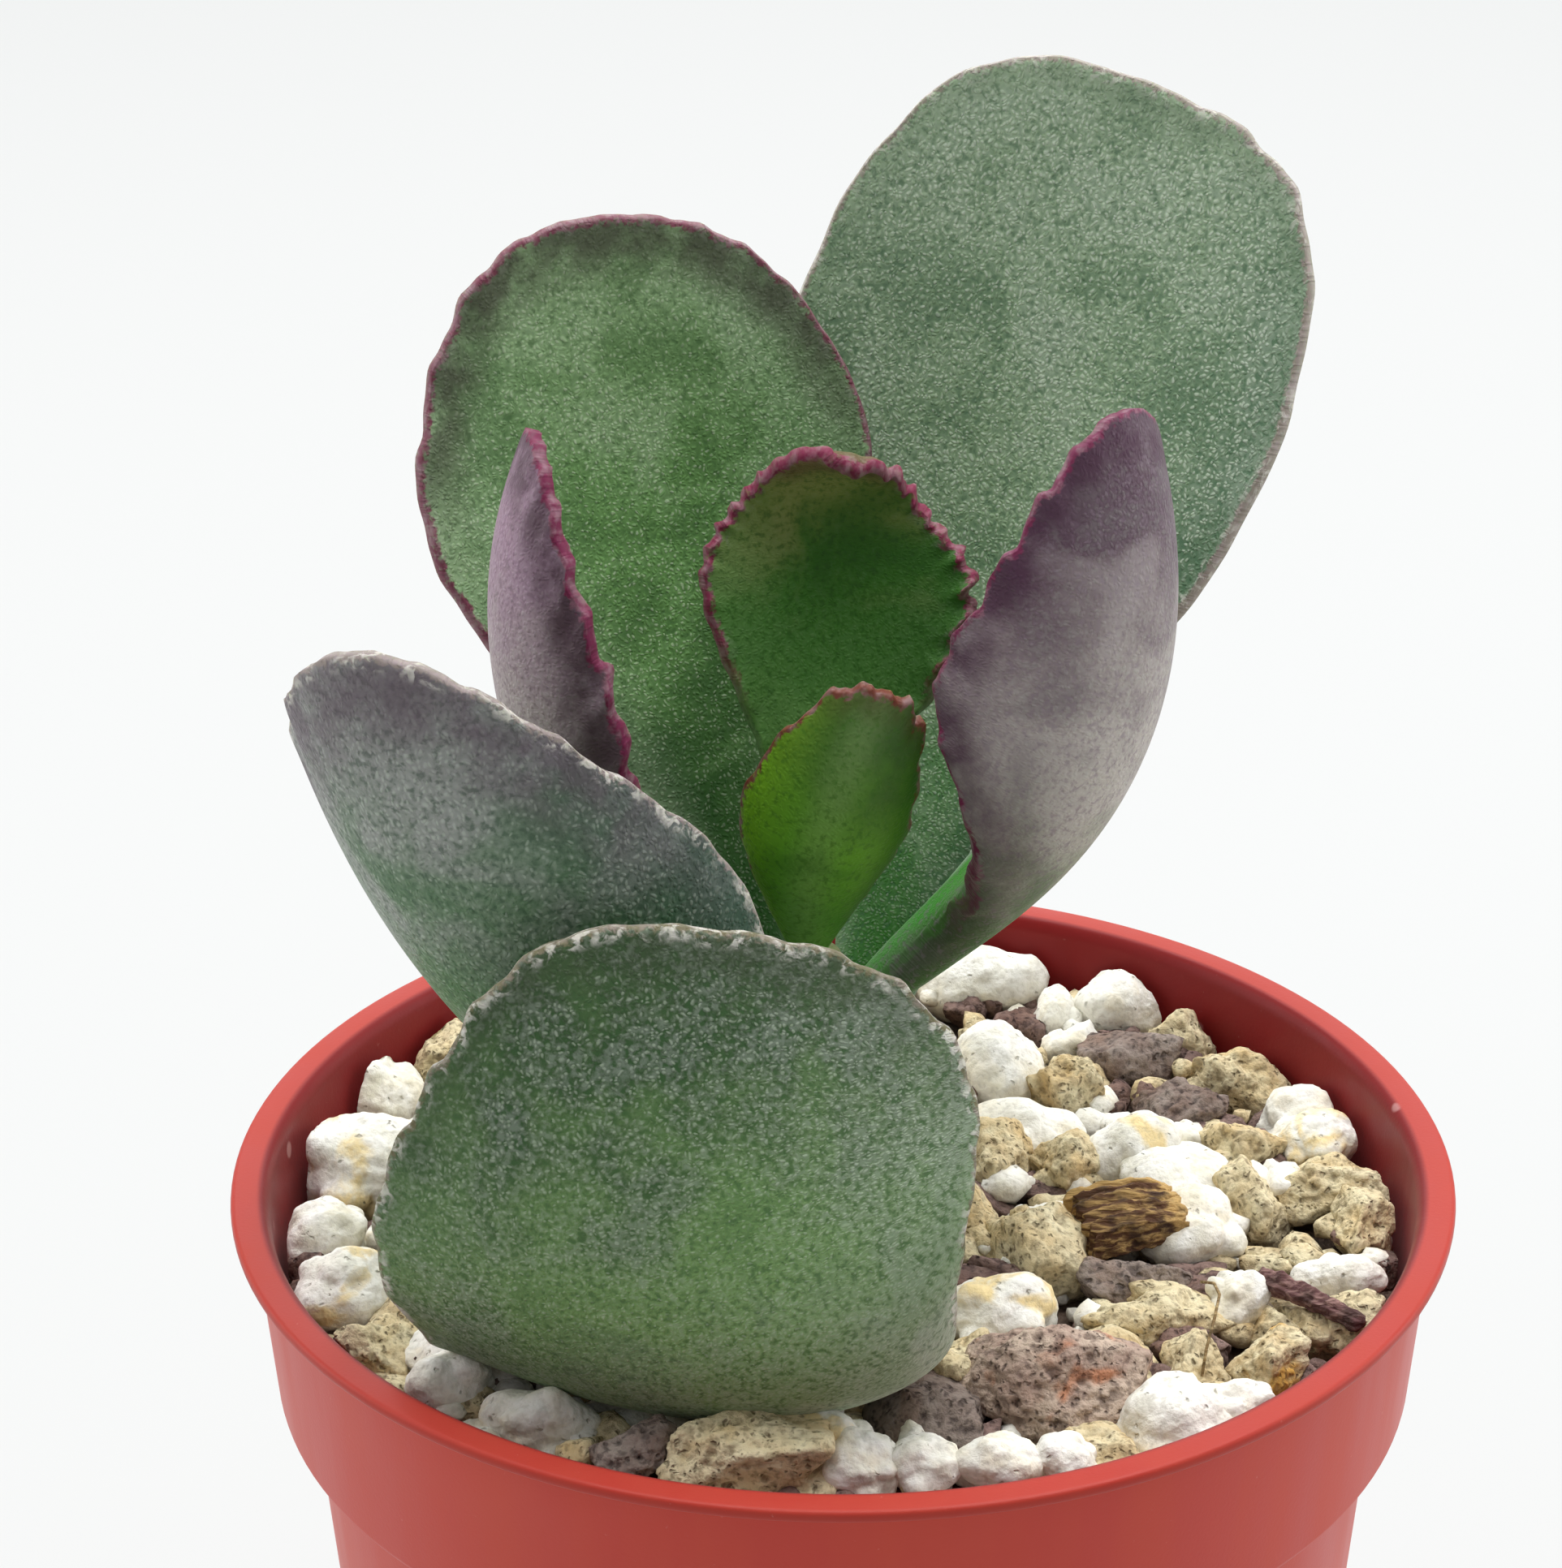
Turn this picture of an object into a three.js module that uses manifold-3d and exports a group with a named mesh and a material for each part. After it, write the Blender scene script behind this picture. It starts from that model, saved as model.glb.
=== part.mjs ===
// Potted dwarf succulent: eight fleshy, cupped leaves in crossed pairs on a short stem,
// rooted in pumice grit in a round thin-walled plastic pot.
// Millimetres, +Z up, origin at the middle of the pot's base, front of the pot at -Y.
import * as THREE from 'three';
import { mergeVertices } from 'three/addons/utils/BufferGeometryUtils.js';
import Module from 'manifold-3d';

const wasm = await Module();
wasm.setup();

// Driving dimensions
const POT_HEIGHT = 50;
const RIM_RADIUS = 27.5;
const RIM_WIDTH = 1.4;
const LIP_THICKNESS = 0.55;
const LIP_EDGE = 0.15;
const LIP_FALL = 0.4;
const COLLAR_HEIGHT = 9.35;
const COLLAR_TOP_RADIUS = 26.6;
const COLLAR_FOOT_RADIUS = 25.9;
const BODY_TOP_RADIUS = 24.5;
const BODY_TAPER = 0.079;
const WALL = 0.8;
const FLOOR = 1.2;
const FOOT_CHAMFER = 0.5;
const DRAIN_COUNT = 6;
const DRAIN_RADIUS = 2;
const DRAIN_RING = 13;
const DRAIN_SEGMENTS = 16;
const POT_SEGMENTS = 48;

const GAP = 0.3;
const GRIT_LEVEL = 45.9;
const GRAIN_CENTRE_LEVEL = 46.5;
const GRAIN_PITCH = 4.5;
const GRAIN_SIZE = 4.7;
const GRAIN_HEIGHT = 3.0;
const GRAIN_JITTER = 0.3;
const GRAIN_CLEARANCE = 1;
const GRAIN_DEPTH_SHARE = 0.85;
const GRAIN_SCALE = { least: 0.85, range: 0.35 };
const GRAIN_RISE = { least: 0.75, range: 0.4 };
const GRAIN_UNEVEN = { least: 0.98, range: 0.24 };

const STEM_X = -1.4;
const STEM_Y = 0.4;
const STEM_FOOT = 38;
const STEM_TOP = 61;
const STEM_RADIUS = 2.7;
const CROWN_RADIUS = 3.3;
const STEM_END_RADIUS = 1.6;
const STEM_ROOT_RISE = 3;
const CROWN_RISE = 0.5;
const CROWN_FADE = 4;
const STEM_TOP_ROUND = 0.6;
const STEM_SEGMENTS = 20;

// The waves of a leaf's edge die out inwards by EDGE_FALLOFF and start past the stalk. The
// section is rounder on the stalk than on the blade, by the power of its fullness.
const LEAF_RINGS = 4;
const MARGIN_THICKNESS = 0.7;
const UPPER_SHARE = 0.3;
const EDGE_FALLOFF = 14;
const EDGE_START = { from: -0.75, length: 0.35 };
const PLUMP_CHANGE = { from: 0.05, length: 0.9 };
const FULLNESS = { stalk: 0.5, added: 0.35, from: 0.1, length: 0.4 };
const LEAST_BEND = 1e-4;

const LEAF_ROUGHNESS = 0.55;
const MERGE_DISTANCE = 1e-4;

// Each leaf follows a cubic spine from the stem to its tip. faceAtBase and faceAtTip are
// where its upper side looks. widenFrom and widenTo say where along the leaf, from -1 at
// the stem to 1 at the tip, the stalk turns into the blade; blunt widens the tip's half and
// lean its right side. cup is the curvature across the leaf in 1/mm, plump its thickness
// in mm, both at the stem and at the tip. corners are the cosine and sine shares of the
// outline's 3rd, 4th and 5th harmonics. waves, waveDepth and scallop make the edge: how
// many, how far up and down, how far in.
const LEAVES = [
  {
    name: 'leaf_back_right', colour: 0x5f7d62,
    spine: [[-0.7, 1.9, 51.5], [3.2, 13.6, 56.9], [8.3, 19.7, 74.3], [14.3, 20.2, 96.2]],
    faceAtBase: [-0.32, -0.37, 0.87], faceAtTip: [-0.21, -0.92, 0.34],
    stalkHalfWidth: 2.2, halfWidth: 12.9, widenFrom: -0.74, widenTo: 0.52,
    blunt: 0.22, lean: -0.045, cup: [0.118, 0.017], plump: [4.5, 3.2],
    corners: [-0.015, 0.009, -0.044, -0.009, 0.001, -0.002],
    around: 48, waves: 9, waveDepth: 0.15, scallop: 0.1,
  },
  {
    name: 'leaf_back_left', colour: 0x4f7449,
    spine: [[-2.2, 1.8, 54], [-5.3, 10, 63.1], [-10.3, 16.6, 75], [-10.5, 14.6, 90.7]],
    faceAtBase: [0.2, -0.58, 0.79], faceAtTip: [0.2, -0.9, 0.39],
    stalkHalfWidth: 2.1, halfWidth: 11.7, widenFrom: -0.7, widenTo: 0.51,
    blunt: -0.02, lean: -0.009, cup: [0.116, 0.008], plump: [4.2, 3],
    corners: [-0.024, 0.009, -0.018, -0.01, -0.001, -0.002],
    around: 60, waves: 15, waveDepth: 0.2, scallop: 0.12,
  },
  {
    name: 'leaf_centre_back', colour: 0x3f7a35,
    spine: [[-1.6, 1.4, 59.8], [-0.1, 4.8, 68.1], [-0.4, 12, 77.5], [-0.4, 6.7, 81]],
    faceAtBase: [0.04, -0.88, 0.48], faceAtTip: [-0.02, -0.93, 0.36],
    stalkHalfWidth: 1.8, halfWidth: 6.5, widenFrom: -0.78, widenTo: 0.39,
    blunt: 0.07, lean: 0.01, cup: [0.163, 0.055], plump: [2.8, 2],
    corners: [0.038, -0.01, 0.06, -0.016, 0.018, 0.031],
    around: 80, waves: 20, waveDepth: 0.4, scallop: 0.2,
  },
  {
    name: 'leaf_centre_front', colour: 0x4c8a33,
    spine: [[-1.5, -0.6, 60.2], [-1.1, -1.1, 66.1], [-1.6, -3.3, 67.2], [2.3, -2.9, 74.8]],
    faceAtBase: [0.07, 0.81, 0.59], faceAtTip: [-0.02, 0.98, 0.19],
    stalkHalfWidth: 1.5, halfWidth: 4, widenFrom: -1, widenTo: 0.26,
    blunt: -0.14, lean: 0, cup: [0.201, 0.119], plump: [2.4, 1.8],
    corners: [-0.011, 0.005, -0.029, -0.005, -0.015, -0.002],
    around: 48, waves: 12, waveDepth: 0.15, scallop: 0.15,
  },
  {
    name: 'leaf_left', colour: 0x8a7f8c,
    spine: [[-3.1, 0.3, 57.4], [-6.5, 0.8, 61.2], [-16.9, -0.2, 70.6], [-12.7, 1.6, 84.9]],
    faceAtBase: [0.4, 0.15, 0.9], faceAtTip: [0.98, 0.19, 0.11],
    stalkHalfWidth: 2, halfWidth: 7.3, widenFrom: -0.8, widenTo: 0.64,
    blunt: -0.11, lean: -0.005, cup: [0.155, 0.145], plump: [3.4, 2.5],
    corners: [-0.003, 0.001, -0.03, 0.006, 0.004, -0.007],
    around: 64, waves: 16, waveDepth: 0.3, scallop: 0.1,
  },
  {
    name: 'leaf_right', colour: 0x8b8a90,
    spine: [[0, 0.1, 57.2], [7.3, 2.8, 64.8], [14.5, -2.7, 68.7], [12.2, 0.4, 86]],
    faceAtBase: [-0.45, -0.08, 0.89], faceAtTip: [-0.83, 0.51, 0.21],
    stalkHalfWidth: 1.9, halfWidth: 10.6, widenFrom: -0.72, widenTo: 0.54,
    blunt: -0.12, lean: 0.025, cup: [0.161, 0.175], plump: [3.1, 2.5],
    corners: [-0.026, 0.016, 0, 0.014, 0, 0],
    around: 56, waves: 14, waveDepth: 0.2, scallop: 0.2,
  },
  {
    name: 'leaf_front_left', colour: 0x6a8470,
    spine: [[-2.7, -0.5, 52.2], [-4.9, -3.7, 52.9], [-14.2, -11.8, 61.6], [-20.6, -11.2, 79.6]],
    faceAtBase: [0.22, 0.34, 0.92], faceAtTip: [0.41, 0.85, 0.34],
    stalkHalfWidth: 2.3, halfWidth: 11.9, widenFrom: -0.86, widenTo: 0.53,
    blunt: -0.12, lean: -0.036, cup: [0.123, 0.115], plump: [4.2, 3.1],
    corners: [-0.007, -0.005, 0.004, -0.007, -0.006, -0.004],
    around: 48, waves: 11, waveDepth: 0.2, scallop: 0.1,
  },
  {
    name: 'leaf_front', colour: 0x58785c,
    spine: [[-1.5, -1.2, 54.2], [2.2, -19.5, 44.1], [-9.3, -21.1, 50.8], [-9.9, -15.3, 70.8]],
    faceAtBase: [0.09, 0.17, 0.98], faceAtTip: [-0.06, 1, 0],
    stalkHalfWidth: 2.3, halfWidth: 12.6, widenFrom: -0.85, widenTo: 0.09,
    blunt: 0.29, lean: -0.063, cup: [0.051, 0.005], plump: [4.3, 3.2],
    corners: [-0.035, -0.072, -0.055, -0.011, 0.047, 0.038],
    around: 48, waves: 11, waveDepth: 0.2, scallop: 0.1,
  },
];

// Grains that stand out on the grit, placed one by one: [x, y, width, depth, height].
const MAIN_GRAINS = [
  [7.2, 23.2, 6.4, 3.6, 4], [14.2, 21, 4.6, 4.4, 4], [16.6, 17.6, 4.6, 3.6, 3.6],
  [19.6, 13.4, 4.6, 3.6, 3.2], [10.8, 12.2, 4.2, 3.6, 3.6], [16.3, 10.6, 3.9, 3.6, 2.6],
  [7.6, 14.6, 4.2, 6, 4.4], [10.9, 20.1, 2.2, 2.6, 2.8], [22.1, 10.2, 4, 2.8, 2.8],
  [22.4, 7.1, 3.8, 3.4, 3], [18.9, 7.1, 3.9, 3.6, 3], [13.8, 6.1, 4.9, 4.2, 4.2],
  [7.5, 5.2, 2.8, 3.6, 3.4], [10.3, 5, 3.4, 3.6, 3.2], [15.8, -0.9, 4.4, 4.6, 3.6],
  [18.8, 1.6, 4.2, 4.4, 3.6], [22.4, 2.6, 4.6, 3.2, 3], [23.8, -0.9, 2.8, 3.6, 3.2],
  [8.6, -2.6, 4.6, 5.6, 4], [7, -8.6, 4.2, 3.6, 3.4], [13.8, -8.6, 6, 3.4, 2.4],
  [17.4, -7.4, 2.7, 2.6, 2.6], [22, -5, 3.8, 2.4, 2.2], [22, -9, 3.6, 3, 2.6],
  [13.9, -17.2, 4.8, 4.2, 3.4], [15.2, -13, 2.6, 3.4, 2.8], [18.2, -12.6, 3.2, 3.2, 2.8],
  [12.9, -5.6, 4.6, 2.6, 2], [5.2, -13, 2.6, 2.6, 2.4], [-4, -18.2, 6.4, 3.8, 4],
  [-0.8, -16.9, 3.2, 2.8, 2.8], [0.8, -20.6, 3, 2.8, 2.6], [3.4, -20.6, 2.8, 2.6, 2.4],
  [6.4, -20.4, 3.8, 2.6, 2.4], [9.2, -20.4, 2.4, 2.4, 2.2], [-22.1, 11.6, 3.8, 4, 4],
  [-22.4, 4.6, 5.4, 5, 4.6], [-23.4, -1.2, 3.4, 4.4, 3.6], [-21.6, -6.2, 4.6, 4, 3.2],
  [-16.6, -14, 3.2, 3, 2.8], [-12.6, -16.4, 4.6, 3, 3], [-20.2, -11.2, 2.8, 3, 2.6],
  [-8.6, -19.6, 3.2, 2.6, 2.2], [-19.6, 15.2, 3, 3.6, 3.4], [16.6, -16.2, 2.6, 2.4, 2.2],
];

const LAVA_STONE = {
  x: 8.6, y: -14.6, z: 47.5, size: [8.6, 5, 4.6], turn: -0.12,
  lumps: [{ height: 0.12, waves: 9, shift: 2 }, { height: 0.08, waves: 11 }],
};
const BARK_CHIP = {
  x: 12.9, y: -1.8, z: 47.9, size: [4.6, 3.4, 1.6], turn: 0.25, ribs: 4, groove: 0.3,
};
const TWIG = { from: [18.4, -6.6, 47.7], to: [22.4, -10.6, 48], radius: 0.55, sides: 7 };

// A closed mesh as a solid, by its shared corners alone
function solidOf(geometry) {
  const bare = geometry.clone();
  bare.deleteAttribute('normal');
  bare.deleteAttribute('uv');
  const merged = mergeVertices(bare, MERGE_DISTANCE);
  const vertProperties = new Float32Array(merged.attributes.position.array);
  const triVerts = new Uint32Array(merged.index.array);
  return new wasm.Manifold(new wasm.Mesh({ numProp: 3, vertProperties, triVerts }));
}

function geometryOf(solid) {
  const mesh = solid.getMesh();
  const geometry = new THREE.BufferGeometry();
  geometry.setAttribute('position', new THREE.BufferAttribute(mesh.vertProperties, 3));
  geometry.setIndex(new THREE.BufferAttribute(mesh.triVerts, 1));
  geometry.computeVertexNormals();
  return geometry;
}

function unite(solids) {
  return solids.reduce((whole, solid) => whole.add(solid));
}

// The biggest body of a solid, without the scraps that a cut leaves loose
function mainBody(solid) {
  return solid.decompose().reduce((best, body) => (body.volume() > best.volume() ? body : best));
}

// The same shape with its skin moved out, to cut a clear seat for it in a neighbour
function grown(geometry, distance) {
  const bare = geometry.clone();
  bare.deleteAttribute('normal');
  bare.deleteAttribute('uv');
  const skin = mergeVertices(bare, MERGE_DISTANCE);
  skin.computeVertexNormals();
  const { position, normal } = skin.attributes;
  for (let i = 0; i < position.count; i++) {
    position.setXYZ(
      i,
      position.getX(i) + normal.getX(i) * distance,
      position.getY(i) + normal.getY(i) * distance,
      position.getZ(i) + normal.getZ(i) * distance,
    );
  }
  return solidOf(skin);
}

// A repeatable draw from 0 to 1 for item number i and purpose k
function draw(i, k) {
  const value = Math.sin(i * 12.9898 + k * 78.233) * 43758.5453;
  return value - Math.floor(value);
}

function smooth(value) {
  const x = THREE.MathUtils.clamp(value, 0, 1);
  return x * x * (3 - 2 * x);
}

function lathe(points, segments) {
  const profile = points.map(([radius, height]) => new THREE.Vector2(radius, height));
  return new THREE.LatheGeometry(profile, segments).rotateX(Math.PI / 2);
}

// A point of a leaf. x and y run over the unit disc, across and along the leaf; side is 1
// on the upper face and -1 on the lower one.
function leafPoint(leaf, x, y, side) {
  const radius = Math.min(1, Math.hypot(x, y));
  const angle = Math.atan2(x, y);
  const [c3, s3, c4, s4, c5, s5] = leaf.corners;
  const corner = c3 * Math.cos(3 * angle) + s3 * Math.sin(3 * angle)
    + c4 * Math.cos(4 * angle) + s4 * Math.sin(4 * angle)
    + c5 * Math.cos(5 * angle) + s5 * Math.sin(5 * angle);
  const edge = Math.pow(radius, EDGE_FALLOFF)
    * smooth((y - EDGE_START.from) / EDGE_START.length);
  const phase = leaf.waves * angle;
  const scallop = leaf.scallop / leaf.halfWidth * Math.cos(phase) * edge;
  const reach = 1 + radius * radius * corner + scallop;
  const along = y * reach;
  const t = (1 + along) / 2;

  const spine = leaf.spine.map((point) => new THREE.Vector3(...point));
  const curve = new THREE.CubicBezierCurve3(...spine);
  const centre = curve.getPoint(t);
  const forward = spineDirection(spine, t);
  const up = new THREE.Vector3(...leaf.faceAtBase).normalize().multiplyScalar(1 - t);
  up.addScaledVector(new THREE.Vector3(...leaf.faceAtTip).normalize(), t);
  up.addScaledVector(forward, -up.dot(forward)).normalize();
  const acrossDirection = new THREE.Vector3().crossVectors(forward, up);

  const widening = smooth((along - leaf.widenFrom) / (leaf.widenTo - leaf.widenFrom));
  const halfWidth = THREE.MathUtils.lerp(leaf.stalkHalfWidth, leaf.halfWidth, widening);
  const tipWidth = 1 + leaf.blunt * Math.max(0, along) ** 2;
  const across = x * reach * halfWidth * tipWidth * (1 + leaf.lean * x * reach);
  const bend = Math.max(LEAST_BEND, THREE.MathUtils.lerp(leaf.cup[0], leaf.cup[1], t));
  const turn = bend * across;

  const thinning = smooth((t - PLUMP_CHANGE.from) / PLUMP_CHANGE.length);
  const plump = THREE.MathUtils.lerp(leaf.plump[0], leaf.plump[1], thinning);
  const flattening = smooth((t - FULLNESS.from) / FULLNESS.length);
  const fullness = Math.pow(
    1 - radius * radius,
    FULLNESS.stalk + FULLNESS.added * flattening,
  );
  const share = side > 0 ? UPPER_SHARE : 1 - UPPER_SHARE;
  const skin = side * (plump * share * fullness + MARGIN_THICKNESS / 2);
  const lift = skin + leaf.waveDepth * Math.sin(phase) * edge;
  const sideways = Math.sin(turn) / bend - lift * Math.sin(turn);
  const height = (1 - Math.cos(turn)) / bend + lift * Math.cos(turn);
  return centre.addScaledVector(acrossDirection, sideways).addScaledVector(up, height);
}

function spineDirection(spine, t) {
  const [a, b, c, d] = spine;
  return new THREE.Vector3()
    .addScaledVector(b.clone().sub(a), (1 - t) ** 2)
    .addScaledVector(c.clone().sub(b), 2 * (1 - t) * t)
    .addScaledVector(d.clone().sub(c), t * t)
    .normalize();
}

// A leaf is a ball pressed onto the leaf's two faces: its poles are the middles of the
// faces and its equator is the edge. Both faces are split into triangles alike.
function leafGeometry(leaf) {
  const rows = 2 * LEAF_RINGS + 1;
  const ball = new THREE.SphereGeometry(1, leaf.around, rows);
  const { position } = ball.attributes;
  for (let i = 0; i < position.count; i++) {
    const row = Math.floor(i / (leaf.around + 1));
    const side = row <= LEAF_RINGS ? 1 : -1;
    const ring = Math.min(row, rows - row);
    const radius = Math.sin((Math.PI / 2) * (ring / LEAF_RINGS));
    const angle = (2 * Math.PI * (i % (leaf.around + 1))) / leaf.around;
    const point = leafPoint(leaf, radius * Math.sin(angle), -radius * Math.cos(angle), side);
    position.setXYZ(i, point.x, point.y, point.z);
  }
  const index = [];
  for (let row = 0; row < rows; row++) {
    for (let column = 0; column < leaf.around; column++) {
      const b = row * (leaf.around + 1) + column;
      const a = b + 1;
      const c = b + leaf.around + 1;
      const d = c + 1;
      if (row === 0) {
        index.push(b, c, d);
      } else if (row === rows - 1) {
        index.push(a, b, c);
      } else if (row <= LEAF_RINGS) {
        index.push(a, b, d, b, c, d);
      } else {
        index.push(a, b, c, a, c, d);
      }
    }
  }
  ball.setIndex(index);
  return ball;
}

function bodyRadius(height) {
  return BODY_TOP_RADIUS - BODY_TAPER * (POT_HEIGHT - COLLAR_HEIGHT - height);
}

function potSolid() {
  const ledge = POT_HEIGHT - COLLAR_HEIGHT;
  const lip = POT_HEIGHT - LIP_THICKNESS;
  const shell = solidOf(lathe([
    [0, 0],
    [bodyRadius(0) - FOOT_CHAMFER, 0],
    [bodyRadius(FOOT_CHAMFER), FOOT_CHAMFER],
    [BODY_TOP_RADIUS, ledge],
    [COLLAR_FOOT_RADIUS, ledge],
    [COLLAR_TOP_RADIUS, lip],
    [RIM_RADIUS - LIP_EDGE, lip],
    [RIM_RADIUS, lip + LIP_EDGE],
    [RIM_RADIUS, POT_HEIGHT - LIP_EDGE],
    [RIM_RADIUS - LIP_EDGE, POT_HEIGHT],
    [RIM_RADIUS - RIM_WIDTH, POT_HEIGHT],
    [COLLAR_TOP_RADIUS - WALL, POT_HEIGHT - LIP_FALL],
    [COLLAR_FOOT_RADIUS - WALL, ledge + WALL],
    [BODY_TOP_RADIUS - WALL, ledge + WALL],
    [bodyRadius(FLOOR) - WALL, FLOOR],
    [0, FLOOR],
  ], POT_SEGMENTS));
  const drains = [];
  for (let i = 0; i < DRAIN_COUNT; i++) {
    const angle = (2 * Math.PI * (i + 0.5)) / DRAIN_COUNT;
    const drain = new THREE.CylinderGeometry(
      DRAIN_RADIUS,
      DRAIN_RADIUS,
      4 * FLOOR,
      DRAIN_SEGMENTS,
    );
    drain.rotateX(Math.PI / 2);
    drain.translate(DRAIN_RING * Math.cos(angle), DRAIN_RING * Math.sin(angle), 0);
    drains.push(solidOf(drain));
  }
  return shell.subtract(unite(drains));
}

// The room inside the pot, a gap clear of its walls, up to the given height
function potRoom(top) {
  const ledge = POT_HEIGHT - COLLAR_HEIGHT + WALL;
  const slope = (COLLAR_TOP_RADIUS - COLLAR_FOOT_RADIUS) / (COLLAR_HEIGHT - WALL);
  const collar = COLLAR_FOOT_RADIUS - WALL - GAP;
  return solidOf(lathe([
    [0, FLOOR + GAP],
    [bodyRadius(FLOOR) - WALL - GAP, FLOOR + GAP],
    [BODY_TOP_RADIUS - WALL - GAP, ledge],
    [BODY_TOP_RADIUS - WALL - GAP, ledge + GAP],
    [collar, ledge + GAP],
    [collar + slope * (top - ledge), top],
    [0, top],
  ], POT_SEGMENTS));
}

// A rough stone: an icosahedron with uneven corners, pressed to its width, depth and height
function grainGeometry(number, size, turn) {
  const stone = new THREE.IcosahedronGeometry(0.5, 0);
  const { position } = stone.attributes;
  for (let i = 0; i < position.count; i++) {
    const corner = Math.round(
      7 * position.getX(i) + 31 * position.getY(i) + 127 * position.getZ(i),
    );
    const uneven = GRAIN_UNEVEN.least + GRAIN_UNEVEN.range * draw(number, 10 + corner);
    position.setXYZ(
      i,
      position.getX(i) * uneven,
      position.getY(i) * uneven,
      position.getZ(i) * uneven,
    );
  }
  return stone.scale(...size).rotateZ(turn);
}

// The listed grains, then a staggered fill wherever none of them lies
function grainPlaces() {
  const places = MAIN_GRAINS.map(([x, y, width, depth, height]) => (
    { x, y, size: [width, depth, height] }
  ));
  const rowPitch = GRAIN_PITCH * Math.sqrt(3) / 2;
  const reach = COLLAR_FOOT_RADIUS - GRAIN_SIZE / 2;
  const steps = Math.ceil(reach / rowPitch);
  const listed = places.length;
  let number = 0;
  for (let row = -steps; row <= steps; row++) {
    for (let column = -steps; column <= steps; column++) {
      number += 1;
      const stagger = row % 2 === 0 ? 0 : 0.5;
      const shiftX = GRAIN_JITTER * (draw(number, 1) - 0.5);
      const shiftY = GRAIN_JITTER * (draw(number, 2) - 0.5);
      const x = (column + stagger + shiftX) * GRAIN_PITCH;
      const y = row * rowPitch + shiftY * GRAIN_PITCH;
      const width = GRAIN_SIZE * (GRAIN_SCALE.least + GRAIN_SCALE.range * draw(number, 3));
      const crowded = places.slice(0, listed).some((other) => (
        Math.hypot(other.x - x, other.y - y)
          < (other.size[0] + other.size[1]) / 4 + GRAIN_CLEARANCE
      ));
      if (Math.hypot(x, y) > reach || crowded) {
        continue;
      }
      const height = GRAIN_HEIGHT * (GRAIN_RISE.least + GRAIN_RISE.range * draw(number, 4));
      places.push({ x, y, size: [width, width * GRAIN_DEPTH_SHARE, height] });
    }
  }
  return places;
}

function gritSolid() {
  const grains = grainPlaces().map(({ x, y, size }, number) => {
    const turn = number < MAIN_GRAINS.length ? 0 : 2 * Math.PI * draw(number, 5);
    const stone = grainGeometry(number, size, turn);
    return solidOf(stone.translate(x, y, GRAIN_CENTRE_LEVEL));
  });
  return unite([potRoom(GRIT_LEVEL), ...grains]).intersect(potRoom(POT_HEIGHT));
}

function stemGeometry() {
  const profile = [
    [0, STEM_FOOT],
    [STEM_END_RADIUS, STEM_FOOT],
    [STEM_RADIUS, STEM_FOOT + STEM_ROOT_RISE],
    [CROWN_RADIUS, GRIT_LEVEL + CROWN_RISE],
    [STEM_RADIUS, GRIT_LEVEL + CROWN_FADE],
    [STEM_RADIUS, STEM_TOP - CROWN_FADE],
    [STEM_END_RADIUS, STEM_TOP - STEM_TOP_ROUND],
    [0, STEM_TOP],
  ];
  return lathe(profile, STEM_SEGMENTS).translate(STEM_X, STEM_Y, 0);
}

function lavaGeometry() {
  const { x, y, z, size, turn, lumps } = LAVA_STONE;
  const [lengthwise, crosswise] = lumps;
  const stone = new THREE.IcosahedronGeometry(0.5, 1);
  const { position } = stone.attributes;
  for (let i = 0; i < position.count; i++) {
    const along = position.getX(i);
    const lump = 1
      + lengthwise.height * Math.sin(lengthwise.waves * along + lengthwise.shift)
      + crosswise.height * Math.cos(crosswise.waves * position.getY(i) + along);
    position.setXYZ(i, along, position.getY(i) * lump, position.getZ(i) * lump);
  }
  return stone.scale(...size).rotateZ(turn).translate(x, y, z);
}

// A flat chip of bark with ribs along its top
function barkGeometry() {
  const { x, y, z, size, turn, ribs, groove } = BARK_CHIP;
  const [length, depth, thickness] = size;
  const outline = new THREE.Shape();
  outline.moveTo(-depth / 2, -thickness / 2);
  outline.lineTo(depth / 2, -thickness / 2);
  for (let rib = ribs; rib > 0; rib--) {
    const near = (rib / ribs - 0.5) * depth;
    const far = ((rib - 1) / ribs - 0.5) * depth;
    outline.lineTo(near, thickness * groove);
    outline.lineTo((near + far) / 2, thickness / 2);
    outline.lineTo(far, thickness * groove);
  }
  const chip = new THREE.ExtrudeGeometry(outline, { depth: length, bevelEnabled: false });
  chip.translate(0, 0, -length / 2);
  chip.rotateX(Math.PI / 2).rotateZ(Math.PI / 2);
  return chip.rotateZ(turn).translate(x, y, z);
}

function twigGeometry() {
  const ring = new THREE.Shape();
  for (let i = 0; i < TWIG.sides; i++) {
    const angle = (2 * Math.PI * i) / TWIG.sides;
    const x = TWIG.radius * Math.cos(angle);
    const y = TWIG.radius * Math.sin(angle);
    if (i === 0) {
      ring.moveTo(x, y);
    } else {
      ring.lineTo(x, y);
    }
  }
  const path = new THREE.LineCurve3(
    new THREE.Vector3(...TWIG.from),
    new THREE.Vector3(...TWIG.to),
  );
  return new THREE.ExtrudeGeometry(ring, { steps: 1, extrudePath: path, bevelEnabled: false });
}

function named(name, geometry, colour, roughness) {
  const material = new THREE.MeshStandardMaterial({ color: colour, roughness, metalness: 0 });
  const mesh = new THREE.Mesh(geometry, material);
  mesh.name = name;
  return mesh;
}

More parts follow.
